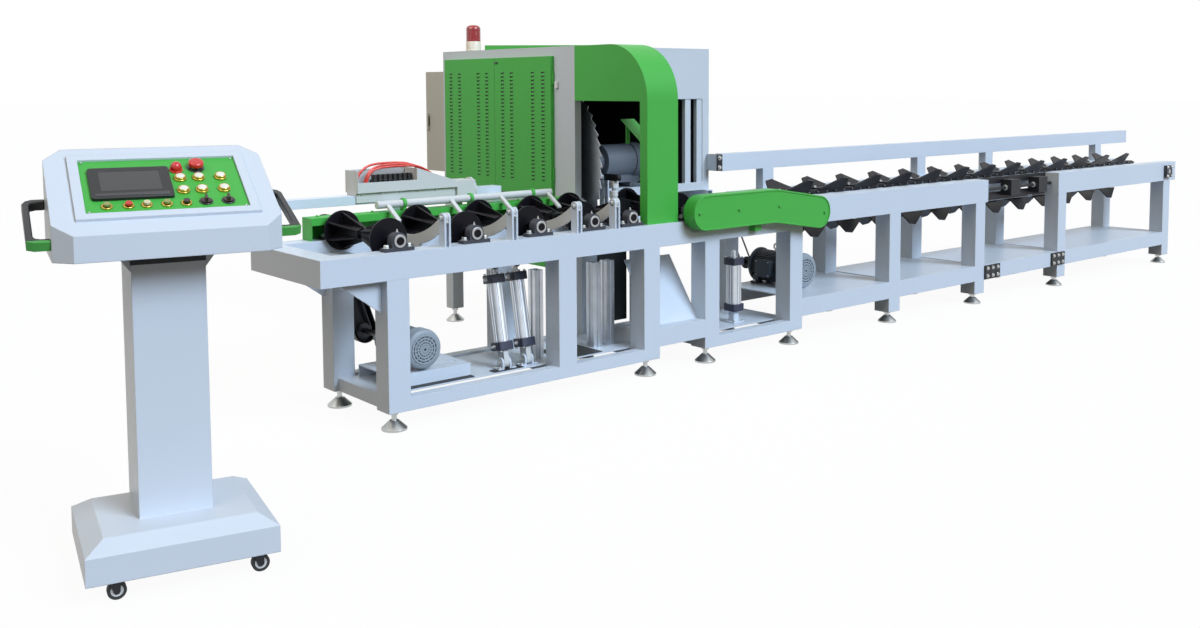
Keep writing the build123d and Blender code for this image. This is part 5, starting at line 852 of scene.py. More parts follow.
@dataclass
class Motor:
    """Finned drive motor along Y with a fan cowl, terminal box and lifting eye."""

    name: str
    finish: Finish
    slot: str
    centre: Flat
    radius: float
    span: Flat
    floor: float
    tilt_deg: float
    flange: float = 0.0
    cowl: float = 0.07
    cowl_lip: float = 0.008
    fins: int = 44
    fin_depth: float = 0.012
    bell: float = 0.045
    foot_share: float = 0.72
    foot_ends: Flat = (0.05, 0.07)
    foot: Point = (0.024, 0.03, 0.016)
    foot_web: Flat = (0.008, 0.022)
    foot_bolt: Flat = (0.014, 0.008)
    box_wall: Point = (0.11, 0.10, 0.012)
    box_lid: Point = (0.12, 0.11, 0.014)
    lid: float = 0.030
    lid_screws: Flat = (0.048, 0.043)
    grille_rings: int = 5
    grille_spokes: int = 16
    eye_foot: Profile = ((0, 0.014), (0.006, 0.014), (0.008, 0.009), (0.016, 0.008))

    def __post_init__(self) -> None:
        """Work out where the finned body and its feet stand."""
        self.start, self.back = self.span[0] + self.cowl, self.span[1]
        self.middle = (self.start + self.back) / 2
        self.foot_y = (self.start + self.foot_ends[0], self.back - self.foot_ends[1])
        self.box = shifted(self.centre[0], self.middle, self.centre[1]) @ turned(self.tilt_deg, "Y")

    def shell(self) -> None:
        """Make the finned body with its end bell, feet and terminal box."""
        x, z = self.centre
        r, root = self.radius, self.radius - self.fin_depth
        body = Form()
        outline = []
        for i in range(self.fins):
            for share, radius in ((0.0, root), (0.32, root), (0.42, r), (0.88, r)):
                angle = TAU * (i + share) / self.fins
                outline.append((x + radius * math.cos(angle), z + radius * math.sin(angle)))
        body.prism(outline, (self.start, self.back - self.bell), Plane.XZ)
        bell = ((0, 0.030), (0.004, r * 0.62), (0.018, r * 0.94), (self.bell, r - 0.002), (0.05, r - 0.02))
        body.lathe((x, self.back, z), FRONT, bell, 48)
        if self.flange:
            rim = ((0.0, self.flange - 0.005), (0.005, self.flange), (0.017, self.flange),
                   (0.020, self.flange - 0.003))
            body.lathe((x, self.back - 0.050, z), BACK, rim, 56)
        (wide, deep, high), (thin, short) = self.foot, self.foot_web
        for foot in (x - r * self.foot_share, x + r * self.foot_share):
            for y in self.foot_y:
                body.block((foot - wide, y - deep, self.floor), (foot + wide, y + deep, self.floor + high))
                body.block((foot - thin, y - short, self.floor), (foot + thin, y + short, z - r * 0.5))
        body.local = self.box
        body.prism(rounded(*self.box_wall), (-r - 0.022, -r * 0.6), Plane.YZ)
        body.prism(rounded(*self.box_lid), (-r - self.lid, -r - 0.020), Plane.YZ)
        motor = body.piece(self.name + "_body", self.finish, FRAME, bevel=0.0012)
        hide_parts(self.name)

    def fan_end(self) -> None:
        """Make the fan cowl with its grille and the fan behind it."""
        x, z = self.centre
        r, front = self.radius, self.span[0]
        edge, mouth = r + self.cowl_lip, r * 0.80
        cover, fan, grille = Form(), Form(), Form()
        lip = ((0.0, r * 0.84), (0.0, edge - 0.016), (0.008, edge - 0.004), (0.02, edge), (self.cowl, edge),
               (self.cowl, r - 0.01))
        cover.lathe((x, front, z), BACK, lip, 56)
        cover.piece(self.name + "_fan_cowl", COWL_GREY, FRAME)
        fan.lathe((x, front - 0.0006, z), BACK, ((0, mouth), (0.004, mouth)), 48)
        fan.piece(self.name + "_fan", DARK_SHEET, FRAME)
        for k in range(self.grille_rings):
            mid = r * (0.12 + 0.16 * k)
            grille.ring((x, front, z), FRONT, mid - 0.0045, mid + 0.0045, 0.004, 40)
        centre = Vector((x, front - 0.001, z))
        for i in range(self.grille_spokes):
            angle = TAU * i / self.grille_spokes
            way = Vector((math.cos(angle), 0, math.sin(angle)))
            grille.rod(tuple(centre + way * r * 0.12), tuple(centre + way * r * 0.84), 0.003, 8)
        grille.piece(self.name + "_grille", COWL_GREY, FRAME)

    def fittings(self) -> None:
        """Make the foot bolts, box screws and lifting eye."""
        x, z = self.centre
        r = self.radius
        bolts, eye = Form(), Form()
        for y in self.foot_y:
            for side in SIDES:
                reach = r * self.foot_share + 0.014
                bolts.bolt((x + side * reach, y, self.floor + self.foot[2]), UP, *self.foot_bolt)
        bolts.local = self.box
        for dy, dz in corners(*self.lid_screws):
            bolts.screw((-r - self.lid, dy, dz), LEFT, 0.004)
        bolts.piece(self.name + "_bolts", ZINC_PLATE, FRAME)
        low = z + r - 0.004
        eye.lathe((x, self.middle, low), UP, self.eye_foot, 20)
        eye.hoop((x, self.middle, low + 0.031), RIGHT, 0.018, 0.0055)
        eye.piece(self.name + "_lifting_eye", ZINC_PLATE, FRAME)

    def build(self) -> None:
        """Make the motor's pieces in place of its plain solid."""
        self.shell()
        self.fan_end()
        self.fittings()


@dataclass
class KickerCylinders:
    """Leaning air cylinders that lift the cradle: tongue, end caps, grooved barrel and gland."""

    places: Flat = (0.680, 0.815)
    foot: Flat = (0.110, 0.177)
    lean_deg: float = 11.264
    lug: float = 0.026
    tongue: float = 0.030
    start: float = 0.060
    end: float = 0.432
    cap: float = 0.042
    side: float = 0.084
    corner: float = 0.010
    lap: float = 0.002
    barrel: float = 0.037
    barrel_facets: int = 96
    groove: float = 0.0035
    gland: Point = (0.0134, 0.024, 0.009)
    screw_reach: float = 0.031
    screw: float = 0.0065
    port: Profile = ((0, 0.010), (0.005, 0.010), (0.006, 0.007), (0.018, 0.007), (0.018, 0.004))

    def build(self) -> None:
        """Make both cylinders in place of their plain solids."""
        forms = caps, barrels, tongues, screws, glands, ports = [Form() for _ in range(6)]
        tongue = half_round(self.lug, 180) + [(self.lug, self.start), (-self.lug, self.start)]
        for x in self.places:
            for form in forms:
                form.local = shifted(x, *self.foot) @ turned(-self.lean_deg, "X")
            tongues.prism(tongue, (-self.tongue / 2, self.tongue / 2), Plane.YZ)
            for low in (self.start, self.end - self.cap):
                caps.prism(rounded(self.side, self.side, self.corner), (low, low + self.cap))
                ports.lathe((-self.side / 2, 0, low + self.cap / 2), LEFT, self.port, 16)
            barrels.prism(self.profile(), (self.start + self.cap - self.lap, self.end - self.cap + self.lap))
            for dx, dy in corners(self.screw_reach, self.screw_reach):
                screws.screw((dx, dy, self.end), UP, self.screw)
                screws.screw((dx, dy, self.start), DOWN, self.screw)
            glands.ring((0, 0, self.end), UP, *self.gland)
        stand_in = caps.piece("kicker_end_caps", CAP_NAVY, "kicker_barrels", bevel=0.003)
        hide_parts("kicker_cylinders")
        barrels.piece("kicker_barrel_tubes", DRAWN_ALLOY, "kicker_barrels")
        tongues.piece("kicker_tongues", CREST_COAT, "kicker_barrels", bevel=0.0015)
        screws.piece("kicker_cap_screws", ZINC_PLATE, "kicker_barrels")
        glands.piece("kicker_rod_glands", TURNED_STEEL, "kicker_barrels")
        ports.piece("kicker_ports", ZINC_PLATE, "kicker_barrels")

    def profile(self) -> Outline:
        """Draw the barrel with eight sensor grooves round it.

        Returns:
            Corners of its outline in order.
        """
        outline = []
        for i in range(self.barrel_facets):
            angle = TAU * i / self.barrel_facets
            radius = self.barrel - (self.groove if i % 12 in (5, 6, 7) else 0.0)
            outline.append((radius * math.cos(angle), radius * math.sin(angle)))
        return outline


@dataclass
class AirGear:
    """Fixed air gear: kicker clevises, log clamp stand, lift guides and the upright cylinder."""

    clevis_x: Flat = KickerCylinders.places
    clevis: Flat = KickerCylinders.foot
    floor: float = 0.147
    lug: float = KickerCylinders.lug
    cheek: Flat = (0.016, 0.026)
    clevis_foot: Point = (0.052, 0.03, 0.008)
    clevis_bolts: Flat = (0.040, 0.018)
    pin: float = 0.0078
    pin_head: Flat = (0.018, 0.008)
    foot_bolt: Flat = (0.012, 0.006)
    clamp_x: float = 1.703
    clamp_pivot: Flat = (0.553, 1.010)
    clamp_lug: float = 0.015
    clamp_cheek: Flat = (0.013, 0.023)
    rail_top: float = 0.800
    shelf: Quad = (0.446, 0.535, 0.780, 0.790)
    shelf_half: float = 0.024
    clamp_rod_y: float = 0.470
    clamp_rod: float = 0.0099
    clamp_barrel: Flat = (0.790, 0.935)
    clamp_clevis: Flat = (0.9517, 0.9917)
    clevis_half: float = 0.020
    clevis_bolt: Flat = (0.013, 0.005)
    guide_x: Point = (0.936, 1.318, 1.412)
    guide_y: float = 0.190
    guide: Flat = (0.050, 0.060)
    guide_top: float = 0.600
    guide_lip: float = 0.006
    guide_slot: float = 0.0035
    guide_web: float = 0.004
    upright: Flat = (2.350, 0.150)
    upright_z: Quad = (0.215, 0.257, 0.485, 0.527)
    upright_side: float = 0.088
    upright_foot: float = 0.008
    upright_bolt: Flat = (0.010, 0.005)
    upright_screw: float = 0.0055
    upright_bore: float = 1.16
    gland: Profile = ((0, 0.022), (0.008, 0.022), (0.010, 0.013), (0.038, 0.013), (0.042, 0.010))

    def __post_init__(self) -> None:
        """Start one form for each finish."""
        self.sheet, self.pins, self.alloy, self.white, self.caps = (Form() for _ in range(5))

    def cheeks(self, x: float, widths: Flat, pivot: Flat, lug: float, floor: float) -> None:
        """Add a pair of round-topped cheeks with the pin between them.

        Args:
            x: middle of the pair.
            widths: from the middle to the inside and outside faces.
            pivot: the pin's place in Y and Z.
            lug: radius of the round top.
            floor: height the cheeks stand on.
        """
        for side in SIDES:
            near, far = (x + side * wide for wide in widths)
            self.sheet.prism(arch(pivot, lug, floor), sorted((near, far)), Plane.YZ)
            self.pins.bolt((far, *pivot), (side, 0, 0), *self.pin_head)
        self.pins.rod((x - widths[1], *pivot), (x + widths[1], *pivot), self.pin)

    def clevises(self) -> None:
        """Add the forked feet that the kicker cylinders swing on."""
        y = self.clevis[0]
        reach, half, thick = self.clevis_foot
        bolt_x, bolt_y = self.clevis_bolts
        top = self.floor + thick
        for x in self.clevis_x:
            self.cheeks(x, self.cheek, self.clevis, self.lug, self.floor)
            for side in SIDES:
                low, high = sorted((x + side * self.cheek[1], x + side * reach))
                self.sheet.block((low, y - half, self.floor), (high, y + half, top))
                for dy in (-bolt_y, bolt_y):
                    self.pins.bolt((x + side * bolt_x, y + dy, top), UP, *self.foot_bolt)

    def clamp(self) -> None:
        """Add the log clamp's cheeks, shelf and small upright cylinder."""
        x, y, half = self.clamp_x, self.clamp_rod_y, self.clevis_half
        self.cheeks(x, self.clamp_cheek, self.clamp_pivot, self.clamp_lug, self.rail_top)
        y0, y1, z0, z1 = self.shelf
        self.sheet.block((x - self.shelf_half, y0, z0), (x + self.shelf_half, y1, z1))
        low, high = self.clamp_barrel
        tube = high - low
        barrel = ((0, 0.022), (0.002, 0.024), (0.026, 0.024), (0.028, 0.0215), (tube - 0.032, 0.0215),
                  (tube - 0.030, 0.024), (tube - 0.002, 0.024), (tube, 0.021))
        self.white.lathe((x, y, low), UP, barrel, 36)
        z0, z1 = self.clamp_clevis
        self.alloy.rod((x, y, high - 0.002), (x, y, z0 + 0.004), self.clamp_rod)
        fork = ((-half, z0), (half, z0), (half, z1 - 0.006), (0.014, z1), (-0.014, z1), (-half, z1 - 0.006))
        self.white.prism([(y + u, v) for u, v in fork], (x - half, x + half), Plane.YZ)
        for side in SIDES:
            self.pins.bolt((x + side * half, y, (z0 + z1) / 2), (side, 0, 0), *self.clevis_bolt)

    def guides(self) -> None:
        """Add the slotted alloy guides of the log lift."""
        wide, deep = self.guide
        lip, web = self.guide_lip, self.guide_web
        for x in self.guide_x:
            outline = []
            for sx, sy in ((1, 1), (-1, 1), (-1, -1), (1, -1)):
                bed, face, end = sx * (wide / 2 - lip), sx * wide / 2, sy * deep / 2
                slot = sy * (lip + self.guide_slot)
                run = [(bed, sy * lip), (bed, slot), (face, slot), (face, end), (sx * web, end),
                       (sx * web, sy * (deep / 2 - lip))]
                outline += run if sx * sy > 0 else run[::-1]
            self.alloy.prism([(x + u, self.guide_y + v) for u, v in outline], (self.floor, self.guide_top))

    def lift(self) -> None:
        """Add the upright cylinder on its foot."""
        x, y = self.upright
        z0, z1, z2, z3 = self.upright_z
        side, bore = self.upright_side, self.upright_bore
        foot, reach, lap = side / 2, side / 2 - 0.010, 0.002
        base = self.floor + self.upright_foot
        self.sheet.prism(rounded(foot, foot, 0.004, self.upright), (self.floor, z0))
        self.sheet.block((x - foot, y - foot, self.floor), (x + foot, y + foot, base))
        for span in ((z0, z1), (z2, z3)):
            self.caps.prism(rounded(side, side, 0.010, self.upright), span)
        for dx, dy in corners(reach, reach):
            self.pins.screw((x + dx, y + dy, z3), UP, self.upright_screw)
            self.pins.bolt((x + dx, y + dy, base), UP, *self.upright_bolt)
        tube = [(x + u * bore, y + v * bore) for u, v in KickerCylinders().profile()]
        self.alloy.prism(tube, (z1 - lap, z2 + lap))
        self.alloy.lathe((x, y, z3), UP, self.gland, 28)

    def build(self) -> None:
        """Make the air gear in place of its plain solids."""
        self.clevises()
        self.clamp()
        self.guides()
        self.lift()
        stand_in = self.alloy.piece("air_guides_and_barrels", DRAWN_ALLOY, FRAME)
        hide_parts("air_cylinders")
        self.sheet.piece("air_gear_brackets", GREY_COAT, FRAME, bevel=0.0012)
        self.white.piece("clamp_cylinder", WHITE_PLASTIC, FRAME, bevel=0.001)
        self.pins.piece("air_gear_pins", ZINC_PLATE, FRAME)
        self.caps.piece("upright_cylinder_caps", CAP_NAVY, FRAME, bevel=0.002)


@dataclass
class TableTrim:
    """Pins, screws, dark patches of painted shade and rims on the table and its guards."""

    post_x: tuple[float, ...] = (0.260, 0.635, 1.028, 1.276)
    pin: Flat = (-0.0315, 0.9325)
    pin_head: Flat = (0.017, 0.008)
    post_face: float = 0.0173
    bead_x: Flat = (0.007, 0.017)
    bead_y: Flat = (-0.054, -0.009)
    bead_z: float = 0.8005
    bead: float = 0.0032
    floor: float = 0.147
    shade_mats: tuple[tuple[Flat, Flat], ...] = (((0.10, 0.48), (0.062, 0.118)), ((0.59, 0.77), (0.062, 0.118)),
                                           ((1.02, 1.275), (0.062, 0.300)))
    shade_mat_thick: float = 0.002
    shade_sheet: tuple[Flat, Flat, Flat] = ((1.645, 1.900), (0.586, 0.598), (0.160, 0.640))
    shade_sheet_thick: float = 0.003
    guard_x: Flat = (-0.110, 1.490)
    guard_end: float = 0.06
    guard_y: float = 0.610
    guard_top: float = 0.908
    guard_screws: int = 6
    guard_screw: Flat = (0.012, 0.006)
    drive_path: Profile = ((1.835, 0.846), (2.395, 0.846), (2.775, 0.785))
    drive_half: float = 0.095
    drive_rim: Flat = (0.001, 0.009)
    drive_face: float = -0.135
    drive_screws: Profile = ((1.785, 0.846), (2.090, 0.846), (2.420, 0.842), (2.820, 0.778))
    drive_screw: Flat = (0.013, 0.006)

    def posts(self) -> None:
        """Make the pin heads and weld beads of the fork posts."""
        heads, beads = Form(), Form()
        near, far = self.bead_y
        for x in self.post_x:
            for side in SIDES:
                heads.bolt((x + side * self.post_face, *self.pin), (side, 0, 0), *self.pin_head)
                for edge in self.bead_x:
                    at = x + side * edge
                    beads.rod((at, near, self.bead_z), (at, far, self.bead_z), self.bead, 8)
        heads.piece("post_pin_heads", ZINC_PLATE, FRAME)
        beads.piece("post_weld_beads", GREY_COAT, FRAME)

    def underside(self) -> None:
        """Make the dark patches on the floor sheets and the dark folded sheet between the back legs, both painted
        shade.
        """
        shade_mats = Form()
        # Painted shade: dark patches on the floor sheets where shade falls through their openings.
        for (x0, x1), (y0, y1) in self.shade_mats:
            outline = rounded(x1 - x0, y1 - y0, 0.012, ((x0 + x1) / 2, (y0 + y1) / 2))
            shade_mats.prism(outline, (self.floor, self.floor + self.shade_mat_thick))
        shade_mats.piece("floor_shade_patches", TYRE_RUBBER, FRAME, bevel=0.0006)
        # Painted shade: a dark folded sheet between the back legs, where the space behind lies in shade.
        (x0, x1), (y0, y1), (z0, z1) = self.shade_sheet
        wide, tall, fold = x1 - x0, z1 - z0, y0 + self.shade_sheet_thick
        sheet = Form(shifted((x0 + x1) / 2, 0, (z0 + z1) / 2))
        face = rounded(wide, tall, 0.006)
        sheet.prism(face, (y0, fold), Plane.XZ)
        sheet.collar(face, rounded(wide - 0.006, tall - 0.006, 0.004), (fold, y1), Plane.XZ)
        sheet.piece("back_shade_sheet", DARK_SHEET, FRAME, bevel=0.0008)

    def guards(self) -> None:
        """Make the raised rim of the drive guard and the screws of both guards."""
        rim, screws = Form(), Form()
        outer, inner = (capsule(self.drive_path, self.drive_half - inset) for inset in self.drive_rim)
        rim.collar(outer, inner, (self.drive_face - 0.004, self.drive_face + 0.001), Plane.XZ)
        rim.piece("drive_guard_rim", GREEN_COAT, FRAME, bevel=0.001)
        for x, z in self.drive_screws:
            screws.bolt((x, self.drive_face, z), FRONT, *self.drive_screw)
        start, end = self.guard_x
        run = end - start - 2 * self.guard_end
        for i in range(self.guard_screws):
            x = start + self.guard_end + i * run / (self.guard_screws - 1)
            screws.bolt((x, self.guard_y, self.guard_top), UP, *self.guard_screw)
        screws.piece("guard_screws", GREEN_COAT, FRAME)

    def build(self) -> None:
        """Make the table's trim."""
        self.posts()
        self.underside()
        self.guards()


@dataclass
class Pusher:
    """Fittings of the log pusher, its three red hoses and the valves under them."""

    middle: float = 0.740
    flange: Flat = (0.915, 0.975)
    flange_reach: float = 0.052
    flange_angles_deg: Quad = (30, 70, 110, 150)
    flange_bolt: Flat = (0.012, 0.007)
    cheek_screws: int = 6
    cheek_screw: float = 0.0045
    cheek: Point = (0.235, 0.6915, 0.9915)
    cheek_pitch: float = 0.108
    hose: float = 0.012
    starts: tuple[Point, ...] = ((0.265, 0.702, 0.0), (0.277, 0.740, 0.008), (0.251, 0.778, 0.014))
    lengths: Point = (0.606, 0.599, 0.630)
    deck: float = 1.0035
    box_face: float = 0.790
    box_z: float = 1.0133
    nut: Profile = ((0, 0.0105), (0.009, 0.0105), (0.0105, 0.0095))
    bank_x: Flat = (0.315, 0.545)
    bank_half: float = 0.027
    valve_count: int = 8
    valve: Flat = (0.012, 0.054)
    coil: Flat = (0.053, 0.080)

    def route(self, x: float, y: float, rise: float) -> list[Point]:
        """Return one hose's control points, from its floor union to the end box.

        Args:
            x: the union's place along the deck.
            y: its place across the deck.
            rise: how much higher than the first hose it runs.

        Returns:
            Points in order.
        """
        return [(x, y, 1.0153), (x, y, 1.0513), (x + 0.030, y + 0.003, 1.1033),
                (x + 0.090, y + 0.005, 1.1213 + rise), (0.490, y + 0.001, 1.1233 + rise),
                (0.575, y - 0.004, 1.1193 + rise / 2), (0.680, y - 0.002, 1.0553), (0.735, y, self.box_z),
                (0.776, y, self.box_z)]

    def hoses(self) -> None:
        """Make the three hoses as smooth cords."""
        for i, (start, length) in enumerate(zip(self.starts, self.lengths)):
            name, points = f"red_hose_{i + 1}", self.route(*start)
            curve = bpy.data.curves.new(name, "CURVE")
            curve.dimensions = "3D"
            curve.bevel_depth = self.hose / 2
            curve.bevel_resolution = 6
            curve.resolution_u = 12
            curve.use_fill_caps = True
            spline = curve.splines.new("NURBS")
            spline.points.add(len(points) - 1)
            for spot, point in zip(spline.points, points):
                spot.co = (*point, 1.0)
            spline.order_u = 3
            spline.use_endpoint_u = True
            curve.materials.append(RED_HOSE.material())
            hose = bpy.data.objects.new(name, curve)
            show(hose)
            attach(hose, "pusher_body")
            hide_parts("air_hoses")
            log.info("%s rides on pusher_body", name)

    def fittings(self) -> None:
        """Make the flange bolts, cheek screws and the unions' nuts."""
        bolts, nuts = Form(), Form()
        x, z = self.flange
        for angle_deg in self.flange_angles_deg:
            angle = math.radians(angle_deg)
            spot = (x, self.middle + self.flange_reach * math.cos(angle), z + self.flange_reach * math.sin(angle))
            bolts.bolt(spot, RIGHT, *self.flange_bolt)
        x, y, z = self.cheek
        for i in range(self.cheek_screws):
            bolts.screw((x + i * self.cheek_pitch, y, z), FRONT, self.cheek_screw)
        for x, y, _ in self.starts:
            nuts.lathe((x, y, self.deck), UP, self.nut, 6)
            nuts.lathe((self.box_face, y, self.box_z), LEFT, self.nut, 6)
        bolts.piece("pusher_bolts", ZINC_PLATE, PUSHER)
        nuts.piece("hose_union_nuts", BRASS, PUSHER)

    def valves(self) -> None:
        """Make the black valve bank that stands on the deck under the hoses."""
        bank = Form()
        (x0, x1), deck, y = self.bank_x, self.deck, self.middle
        foot, top = (deck + rise for rise in self.valve)
        bank.block((x0, y - self.bank_half, deck), (x1, y + self.bank_half, foot))
        step = (x1 - x0) / self.valve_count
        for i in range(self.valve_count):
            x = x0 + (i + 0.5) * step
            bank.prism(rounded(step - 0.004, 0.046, 0.004, (x, y)), (foot, top))
            coil = rounded(step - 0.007, 0.030, 0.005, (x, y - 0.006))
            bank.prism(coil, [deck + rise for rise in self.coil])
        bank.piece("valve_bank", BLACK_PLASTIC, PUSHER, bevel=0.0012)

    def build(self) -> None:
        """Make the hoses, fittings and valves."""
        self.hoses()
        self.fittings()
        self.valves()


@dataclass
class SawDoors:
    """Louvre hoods, dark mats behind the slots and latches of the saw's doors, dark sheets inside the cabinet,
    and a lever; the mats and sheets are painted shade.
    """

    face: float = 1.4797
    spans: tuple[Flat, Flat] = ((0.757, 1.3115), (1.3135, 1.868))
    columns: tuple[float, ...] = (0.133, 0.31, 0.687, 0.852)
    rows: int = 29
    first_row: float = 0.987
    rise: float = 0.022143
    slot: Flat = (0.030, 0.013)
    lip: Profile = ((0.0004, 0.0012), (-0.0036, -0.0030), (-0.0036, -0.0042), (-0.0024, -0.0038),
                    (0.0004, -0.0006))
    mat: Flat = (0.0042, 0.0062)
    mat_half: float = 0.024
    mat_over: float = 0.02
    latch: Flat = (1.291, 1.668)
    latch_plate: Point = (0.030, 0.012, 0.006)
    latch_rise: float = 0.006
    switch: Flat = (0.7255, 1.534)
    switch_plate: Point = (0.022, 0.040, 0.004)
    switch_x: Flat = (1.4905, 1.5037)
    lever: Flat = (2.298, 1.2945)
    lever_plate: Point = (0.022, 0.084, 0.008)
    lever_x: Flat = (1.6110, 1.6245)
    shade_lining_boxes: tuple[tuple[Point, Point], ...] = (((1.512, 1.9125, 0.900), (2.556, 1.9165, 1.736)),
                                                     ((2.5565, 0.580, 0.900), (2.5605, 1.912, 1.736)),
                                                     ((1.512, 0.580, 1.7375), (2.556, 1.912, 1.7415)))

    def louvres(self, body: str, span: Flat, flip: bool) -> None:
        """Make one door's louvre hoods and the dark mats behind its slots, painted shade seen through the slots.

        Args:
            body: body of the door.
            span: the door's sides in Y.
            flip: whether the columns count from the far side.
        """
        hoods, shade_mats = Form(), Form()
        wide, half = self.slot[0] / 2, self.slot[1] / 2
        low, high = self.first_row - self.mat_over, self.first_row + (self.rows - 1) * self.rise + self.mat_over
        front, back = (self.face + depth for depth in self.mat)
        for share in self.columns:
            y = span[0] + (span[1] - span[0]) * (1 - share if flip else share)
            for row in range(self.rows):
                top = self.first_row + row * self.rise + half
                lip = [(self.face + u, top + v) for u, v in self.lip]
                hoods.prism(lip, (y - wide - 0.001, y + wide + 0.001), Plane.XZ)
            # Painted shade: a dark mat behind each column of slots.
            shade_mats.block((front, y - self.mat_half, low), (back, y + self.mat_half, high))
        hoods.piece(body.replace("_body", "_louvre_hoods"), GREEN_COAT, body)
        shade_mats.piece(body.replace("_body", "_slot_shade_mats"), BLACK_PLASTIC, body)

    def latches(self) -> None:
        """Make the latch between the doors and the door switch."""
        latch, switch = Form(), Form()
        latch.prism(rounded(*self.latch_plate, self.latch), (self.face - self.latch_rise, self.face), Plane.YZ)
        latch.piece("door_latch", BLACK_PLASTIC, "door_front_body", bevel=0.001)
        switch.prism(rounded(*self.switch_plate, self.switch), self.switch_x, Plane.YZ)
        switch.piece("door_switch", WHITE_PLASTIC, FRAME, bevel=0.0012)

    def lining(self) -> None:
        """Make dark sheets on the cabinet's inside walls, painted shade for the inside, and the electrical door's
        lever.
        """
        shade_mats, lever = Form(), Form()
        # Painted shade: dark sheets on the back wall, far side and roof inside the cabinet.
        for low, high in self.shade_lining_boxes:
            shade_mats.block(low, high)
        shade_mats.piece("cabinet_shade_lining", DARK_SHEET, FRAME, bevel=0.001)
        lever.prism(rounded(*self.lever_plate, self.lever), self.lever_x, Plane.YZ)
        lever.piece("electrical_door_lever", BLACK_PLASTIC, "electrical_door_body", bevel=0.002)

    def build(self) -> None:
        """Make both doors' dressing."""
        self.louvres("door_front_body", self.spans[0], False)
        self.louvres("door_rear_body", self.spans[1], True)
        self.latches()
        self.lining()


@dataclass
class Outfeed:
    """Chain links, flight bolts, splice bolts and the fence's end bracket."""

    first: float = 2.960
    pitch: float = 0.344
    flights: int = 13
    middle: float = 0.2575
    base_top: float = 0.8733
    flight_bolts: Flat = (0.055, 0.034)
    bolt: Flat = (0.016, 0.009)
    links: int = 4
    link_z: Flat = (0.8446, 0.8648)
    plate: Flat = (0.0425, 0.0475)
    plate_step: float = 0.0055
    pin_y: Flat = (0.042, 0.056)
    pin: float = 0.005
    splice_x: Flat = (4.666, 5.567)
    splice: Flat = (0.190, 0.096)
    splice_mid: float = 0.215
    splice_face: float = -0.065
    splice_columns: Point = (0.16, 0.5, 0.84)
    splice_row: float = 0.28
    nuts: tuple[tuple[float, Point], ...] = ((5.040, LEFT), (5.160, RIGHT), (5.420, LEFT), (5.540, RIGHT))
    nut_at: Flat = (0.0125, 0.785)
    nut: Profile = ((0, 0.021), (0.014, 0.021), (0.016, 0.018))
    bracket: Flat = (2.572, 1.0535)
    bracket_y: Flat = (0.4832, 0.5718)
    bracket_plate: Point = (0.052, 0.100, 0.006)
    bracket_rows: Flat = (-0.03, 0.03)
    bracket_bolt: Flat = (0.017, 0.010)

    def chain(self) -> None:
        """Make the link plates, pins and flight bolts of the upper strand."""
        plates, pins, bolts = Form(), Form(), Form()
        step = self.pitch / self.links
        low_z, high_z = self.link_z
        mid, tall = (low_z + high_z) / 2, (high_z - low_z) / 2
        for i in range(self.flights):
            x = self.first + i * self.pitch
            for dx, dy in corners(*self.flight_bolts):
                bolts.bolt((x + dx, self.middle + dy, self.base_top), UP, *self.bolt)
            for k in range(self.links):
                start = x + (k - 0.5) * step
                inset = self.plate_step if k % 2 else 0.0
                link = capsule(((start, mid), (start + step, mid)), tall, 8)
                for side in SIDES:
                    plates.prism(link, sorted(self.middle + side * (y + inset) for y in self.plate), Plane.XZ)
                    near, far = ((start, self.middle + side * y, mid) for y in self.pin_y)
                    pins.rod(near, far, self.pin, 14)
        plates.piece("chain_link_plates", OILED_CHAIN, "upper_strand")
        pins.piece("chain_pins", TURNED_STEEL, "upper_strand")
        bolts.piece("flight_bolts", ZINC_PLATE, "upper_strand")

    def frame_bolts(self) -> None:
        """Make the splice plates' bolts, tension nuts and fence bracket."""
        bolts, bracket = Form(), Form()
        wide, tall = self.splice
        for x in self.splice_x:
            for share in self.splice_columns:
                for dz in (-tall * self.splice_row, tall * self.splice_row):
                    spot = (x + wide * share, self.splice_face, self.splice_mid + dz)
                    bolts.bolt(spot, FRONT, *self.bolt)
        for x, way in self.nuts:
            bolts.lathe((x, *self.nut_at), way, self.nut, 6)
        x, z = self.bracket
        bracket.prism(rounded(*self.bracket_plate, self.bracket), self.bracket_y, Plane.XZ)
        for dz in self.bracket_rows:
            bolts.bolt((x, self.bracket_y[0], z + dz), FRONT, *self.bracket_bolt)
        bracket.piece("fence_end_bracket", BLACK_COAT, FRAME, bevel=0.0015)
        bolts.piece("outfeed_bolts", ZINC_PLATE, FRAME)

    def build(self) -> None:
        """Make the outfeed's fittings."""
        self.chain()
        self.frame_bolts()


